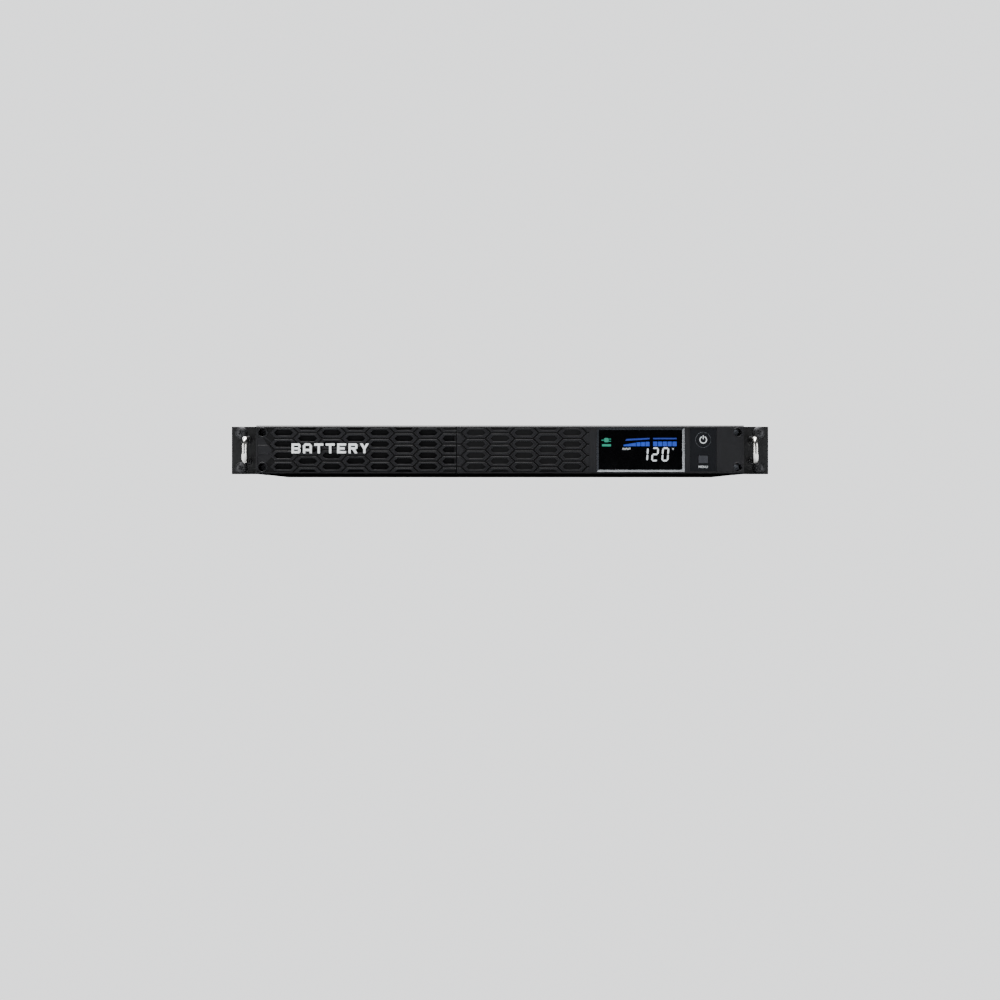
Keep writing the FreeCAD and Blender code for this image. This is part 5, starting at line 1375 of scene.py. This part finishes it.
@dataclass
class BatteryPack:
    """Two lead-acid blocks in their cradle, with labels, terminal guards and leads."""

    label_thick: float = 0.12 * MM
    label_aside: float = 32.0 * MM
    label_inset: float = 20.0 * MM
    band: float = 9.0 * MM
    rib_count: int = 12
    rib_inset: float = 12.0 * MM

    def build(self) -> None:
        """Builds the pack's pieces."""
        soften("batteries", 0.4, CELL_CASE, name="battery_cases", steps=3)
        soften("battery_cradle", 0.25, GALVANISED, name="cradle_sheet")
        soften("battery_plug", 0.3, NYLON, name="battery_plug_body")
        soften("battery_leads", 0, RED_LEAD, BLACK_LEAD, name="battery_lead_pair")
        soften("bay_leads", 0, BLACK_LEAD, RED_LEAD, name="bay_lead_pair")
        soften("bay_socket", 0.2, NYLON, TIN, TIN, name="bay_socket_parts")
        dress(TIN, "battery_terminals")
        self.labels()
        self.ribs()

    def blocks(self) -> list[tuple[Vector, Vector]]:
        """The two blocks' boxes."""
        low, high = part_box("batteries")
        long = 94.0 * MM
        return [
            (Vector(low), Vector((high.x, low.y + long, high.z))),
            (Vector((low.x, high.y - long, low.z)), Vector(high)),
        ]

    def labels(self) -> None:
        """A pale label on each block's upper side, with a blue band and plain ruled lines."""
        parts = {"battery_labels": LABEL, "battery_label_bands": LABEL_BLUE, "battery_label_lines": LABEL_INK}
        drawn = {name: bmesh.new() for name in parts}
        thin, thick = self.label_thick, self.label_thick * 1.6
        for low, high in self.blocks():
            left, right = low.x + self.label_aside, high.x - self.label_aside
            near, far = low.y + self.label_inset, high.y - self.label_inset
            base = far - self.band
            self.sheet(drawn["battery_labels"], (left, near), (right, far), high.z, thin)
            self.sheet(drawn["battery_label_bands"], (left, base), (right, far), high.z, thick)
            for i in range(5):
                start = (left + 4 * MM, base - (6.0 + 6.5 * i) * MM)
                long = (0.86 - 0.11 * (i % 3)) * (right - left)
                end = (start[0] + long, start[1] + 1.3 * MM)
                self.sheet(drawn["battery_label_lines"], start, end, high.z, thick)
        for name, finish in parts.items():
            fit(piece_from(name, drawn[name], finish), "battery_pack", "battery_case")

    def sheet(self, drawn: Sketch, start: Point, end: Point, base: float, thick: float) -> None:
        """Adds a thin level plate between two corners in X and Y, that stands on a height."""
        made = bmesh.ops.create_cube(drawn, size=1.0)["verts"]
        middle = Vector(((start[0] + end[0]) / 2, (start[1] + end[1]) / 2, base + thick / 2))
        bmesh.ops.scale(drawn, vec=(end[0] - start[0], end[1] - start[1], thick), verts=made)
        bmesh.ops.translate(drawn, vec=middle, verts=made)

    def ribs(self) -> None:
        """Low upright ribs along the front of the first block, as its mould leaves them."""
        low, high = self.blocks()[0]
        drawn = bmesh.new()
        plate(
            drawn,
            oblong(-0.5 * MM, low.z + 4 * MM, 0.5 * MM, high.z - 4 * MM, 0.4 * MM, 3),
            low.y - 0.35 * MM,
            low.y + 0.1 * MM,
        )
        shape = piece_from("rib_shape", drawn, CELL_CASE)
        step = (high.x - low.x - self.rib_inset * 2) / (self.rib_count - 1)
        made = GridPattern().make(
            "battery_ribs",
            CELL_CASE,
            Shape=shape,
            Start=(low.x + self.rib_inset, 0.0, 0.0),
            Columns=self.rib_count,
            Column_Step=(step, 0.0, 0.0),
            Rows=1,
            Row_Step=(0.0, 0.0, 0.0),
        )
        bpy.data.objects.remove(shape)
        fit(made, "battery_pack", "battery_case")


# ---- electronics -------------------------------------------------------------------------------


@dataclass
class Electronics:
    """The inverter board and what stands on it."""

    chip: tuple[float, float, float] = (3.2 * MM, 1.8 * MM, 0.9 * MM)
    chip_gap: float = 6.0 * MM
    chip_density: float = 18000.0
    wire: float = 0.5 * MM
    choke_inner: float = 5.0 * MM
    choke_outer: float = 13.0 * MM
    choke_turns: int = 26

    def build(self) -> None:
        """Builds the board's pieces."""
        soften("main_board", 0, BOARD, name="board_sheet")
        soften("control_board", 0, EPOXY, BOARD, name="control_board_parts")
        dress(ZINC, "board_standoffs")
        soften("transformer_core", 0.5, FERRITE, name="ferrite_core")
        soften("transformer_coil", 1.2, TAPE, name="taped_coil", steps=3)
        dress(EXTRUSION, "heatsinks")
        soften("power_transistors", 0.15, EPOXY, name="transistor_bodies")
        soften("bulk_capacitors", 0, SLEEVE, name="capacitor_cans")
        soften("relays", 0.5, RELAY, name="relay_cases")
        soften("buzzer", 0.3, EPOXY, name="buzzer_case", shortest=0.0)
        self.capacitor_tops()
        self.small_parts()
        self.choke()

    def capacitor_tops(self) -> None:
        """A bare scored end on each can."""
        low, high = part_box("bulk_capacitors")
        radius = (high.y - low.y) / 2
        drawn = bmesh.new()
        count = 3
        step = (high.x - low.x - radius * 2) / (count - 1)
        for i in range(count):
            centre = Vector((low.x + radius + step * i, (low.y + high.y) / 2, high.z))
            inner, outer, below, above = 0.6 * MM, radius * 0.78, -0.1 * MM, 0.12 * MM
            section = [(inner, below), (inner, above), (outer, above), (outer, below)]
            turned_ring(drawn, centre, section, 32, "Z")
        fit(piece_from("capacitor_ends", drawn, TIN), "case", "capacitor_sleeve")

    def small_parts(self) -> None:
        """Small surface parts strewn over the free middle and right of the board."""
        board_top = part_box("main_board")[1].z
        drawn = bmesh.new()
        made = bmesh.ops.create_cube(drawn, size=1.0)["verts"]
        bmesh.ops.scale(drawn, vec=self.chip, verts=made)
        bmesh.ops.translate(drawn, vec=(0, 0, self.chip[2] / 2), verts=made)
        shape = piece_from("chip_shape", drawn, EPOXY)
        scatter = ScatterPattern()
        for name, x, y, long, wide, seed in (
            ("chips_front", 112, 92, 64, 90, 3),
            ("chips_right", 176, 90, 42, 96, 8),
            ("chips_rear", 100, 174, 160, 8, 5),
        ):
            field = {"Centre": (x * MM, y * MM, board_top), "Length": long * MM, "Width": wide * MM}
            strewn = {"Spacing": self.chip_gap, "Density": self.chip_density, "Seed": seed}
            piece = scatter.make(name, EPOXY, Shape=shape, **field, **strewn)
            fit(piece, "case", "black_component")
        bpy.data.objects.remove(shape)

    def choke(self) -> None:
        """A toroid wound with turns of enamelled wire."""
        low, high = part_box("choke")
        soften("choke", 1.0, FERRITE, name="choke_core", steps=3, shortest=0.0)
        centre = (low + high) / 2
        inner, outer = self.choke_inner, self.choke_outer
        reach = (outer - inner) / 2 + self.wire
        tall = (high.z - low.z) / 2 + self.wire
        loop = [Vector((x, 0, z)) for x, z in oblong(-reach, -tall, reach, tall, 1.6 * MM, 4)]
        rings = []
        for i, spot in enumerate(loop):
            along = (loop[(i + 1) % len(loop)] - loop[i - 1]).normalized()
            out = Vector((along.z, 0, -along.x))
            turns = [math.pi / 3 * k for k in range(6)]
            offsets = [out * math.cos(turn) + Vector((0, 1, 0)) * math.sin(turn) for turn in turns]
            rings.append([spot + offset * self.wire for offset in offsets])
        drawn = bmesh.new()
        skin(drawn, rings)
        shape = piece_from("turn_shape", drawn, COPPER)
        smoothed(shape, 60)
        round_it = {"Centre": tuple(centre), "Copies": self.choke_turns, "Radius": (inner + outer) / 2}
        made = TurnPattern().make("choke_turns", COPPER, Shape=shape, **round_it)
        bpy.data.objects.remove(shape)
        fit(made, "case", "choke_coating")


# ---- rear --------------------------------------------------------------------------------------


@dataclass
class Rear:
    """What the rear panel carries."""

    def build(self) -> None:
        """Builds the rear's pieces."""
        soften("fan_frame", 0.4, FAN, name="fan_housing")
        dress(FAN, "fan_impeller")
        dress(PLATE, "fan_guard")
        dress(ZINC, "fan_screws")
        soften("ac_inlet", 0.35, SOCKET, name="inlet_housing")
        dress(TIN, "inlet_pins")
        soften("power_outlets", 0.25, SOCKET, name="outlet_faces")
        dress(BRASS, "outlet_contacts", "ground_stud")
        soften("breaker_body", 0.3, SOCKET, name="breaker_case")
        soften("breaker_button", 0.4, RESET, name="breaker_cap", steps=3, shortest=0.0)
        soften("serial_port", 0.15, SHELL, name="serial_shell")
        soften("usb_port", 0.15, SHELL, name="usb_shell")
        soften("network_port", 0.2, SOCKET, name="network_jack")
        dress(LABEL, "rating_label")
        self.label_lines()
        self.serial_face()

    def label_lines(self) -> None:
        """Plain ruled rows and a frame on the rear label, with no words."""
        low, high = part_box("rating_label")
        drawn = bmesh.new()
        front, back = high.y + 0.05 * MM, high.y
        edge = 1.2 * MM
        pen = 0.25 * MM
        left, right = low.x + edge, high.x - edge
        bottom, top = low.z + edge, high.z - edge
        for bar in (
            (left, bottom, right, bottom + pen),
            (left, top - pen, right, top),
            (left, bottom + pen, left + pen, top - pen),
            (right - pen, bottom + pen, right, top - pen),
        ):
            plate(drawn, oblong(*bar), back, front)
        rows = 6
        for i in range(rows):
            z = bottom + (2.2 + 3.1 * i) * MM
            long = (34.0 - 5.5 * (i % 3)) * MM
            plate(drawn, oblong(right - 2.0 * MM - long, z, right - 2.0 * MM, z + 0.9 * MM), back, front)
        fit(piece_from("label_rows", drawn, LABEL_INK), "case", "label_film")

    def serial_face(self) -> None:
        """The dark insert between the serial port's shell and its holes."""
        low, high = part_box("serial_port")
        middle = (low + high) / 2
        drawn = bmesh.new()
        rows = []
        for wide, y in ((7.0, high.y), (7.0, high.y + 0.04 * MM)):
            spots = [(-wide, -3.4), (wide, -3.4), (wide + 1.0, 3.4), (-wide - 1.0, 3.4)]
            rows.append([Vector((middle.x + x * MM, y, 9.2 * MM + z * MM)) for x, z in spots])
        skin(drawn, rows, capped=True)
        fit(piece_from("serial_insert", drawn, SOCKET), "case", "plated_shell")


# ---- studio ------------------------------------------------------------------------------------


@dataclass
class Studio:
    """A pale room with soft light, a floor under the case, and the camera."""

    camera_back: float = 1.70
    camera_low: float = 0.0446
    frame_wide: float = 0.9005
    sensor: float = 36.0
    floor_gap: float = 0.05 * MM
    floor_near: float = 0.55
    floor_far: float = 1.7
    room_light: float = 0.07
    wall_light: float = 2.0

    def build(self) -> None:
        """Builds the room."""
        self.world()
        self.floor()
        self.lamp("key", (-0.3, -0.2, 1.7), 1.1, 66)
        self.lamp("left_side", (-1.8, -1.2, 0.35), 0.8, 13)
        self.lamp("right_side", (1.8, -1.2, 0.35), 0.8, 13)
        self.lamp("top", (0.2, 0.9, 1.9), 1.5, 58)
        self.lamp("rear", (-0.9, 2.1, 1.0), 1.3, 48)
        self.camera()

    def world(self) -> None:
        """A pale room that gives only a little light itself, so that the lamps shape the black case."""
        world = bpy.data.worlds.new("room")
        world.use_nodes = True
        tree = world.node_tree
        tree.nodes.clear()
        path = add(tree, "ShaderNodeLightPath")
        glow = add(tree, "ShaderNodeBackground", {"Color": linear("#e6e9ec"), "Strength": self.room_light})
        wall = add(tree, "ShaderNodeBackground", {"Color": linear("#f0f1f2"), "Strength": self.wall_light})
        shares = {0: path.outputs["Is Camera Ray"], 1: glow.outputs[0], 2: wall.outputs[0]}
        mixed = add(tree, "ShaderNodeMixShader", shares)
        add(tree, "ShaderNodeOutputWorld", {"Surface": mixed.outputs[0]})
        bpy.context.scene.world = world

    def floor(self) -> None:
        """A pale floor that fades into the room, and is clear from below, where the front camera stands."""
        reach = 3.0
        level = cad_bounds[0][2] - self.floor_gap
        drawn = bmesh.new()
        signs = ((-1, -1), (1, -1), (1, 1), (-1, 1))
        drawn.faces.new([drawn.verts.new((x * reach, y * reach, level)) for x, y in signs])
        made = bpy.data.materials.new("pale_floor")
        made.use_nodes = True
        tree = made.node_tree
        tree.nodes.clear()
        face = add(tree, "ShaderNodeNewGeometry")
        spot = add(tree, "ShaderNodeVectorMath", {0: face.outputs["Position"]}, operation="LENGTH")
        far = {"Value": spot.outputs["Value"], "From Min": self.floor_near, "From Max": self.floor_far}
        fade = add(tree, "ShaderNodeMapRange", far, interpolation_type="SMOOTHSTEP")
        sides = {0: fade.outputs[0], 1: face.outputs["Backfacing"]}
        unseen = add(tree, "ShaderNodeMath", sides, operation="MAXIMUM")
        paper = add(tree, "ShaderNodeBsdfDiffuse", {"Color": linear("#dfe1e3")})
        clear = add(tree, "ShaderNodeBsdfTransparent")
        shares = {0: unseen.outputs[0], 1: paper.outputs[0], 2: clear.outputs[0]}
        mixed = add(tree, "ShaderNodeMixShader", shares)
        add(tree, "ShaderNodeOutputMaterial", {"Surface": mixed.outputs[0]})
        mesh = mesh_of("floor", drawn)
        mesh.materials.append(made)
        placed("floor", mesh)

    def lamp(self, name: str, place: tuple[float, float, float], size: float, power: float) -> None:
        """A large square soft lamp that faces the case."""
        data = bpy.data.lights.new(name, "AREA")
        data.size = size
        data.energy = power
        made = placed(name, data)
        made.location = place
        made.visible_camera = False
        made.rotation_euler = (Vector((0, 0.05, 0)) - Vector(place)).to_track_quat("-Z", "Y").to_euler()

    def camera(self) -> None:
        """A level camera square to the front, with the case a little above the middle of its view."""
        data = bpy.data.cameras.new("camera")
        data.sensor_width = self.sensor
        data.lens = self.sensor * self.camera_back / self.frame_wide
        made = placed("camera", data)
        made.location = (0.0, -self.camera_back, -self.camera_low)
        made.rotation_euler = (math.pi / 2, 0, 0)
        bpy.context.scene.camera = made


def main() -> None:
    """Builds every sub-assembly and the room."""
    logging.basicConfig(level=logging.INFO, format="%(message)s")
    for kind in (Mouldings, Display, ButtonPanel, Ears, Case, BatteryPack, Electronics, Rear, Studio):
        part = kind()
        log.info("%s", type(part).__name__)
        part.build()


if __name__ == "__main__":
    main()
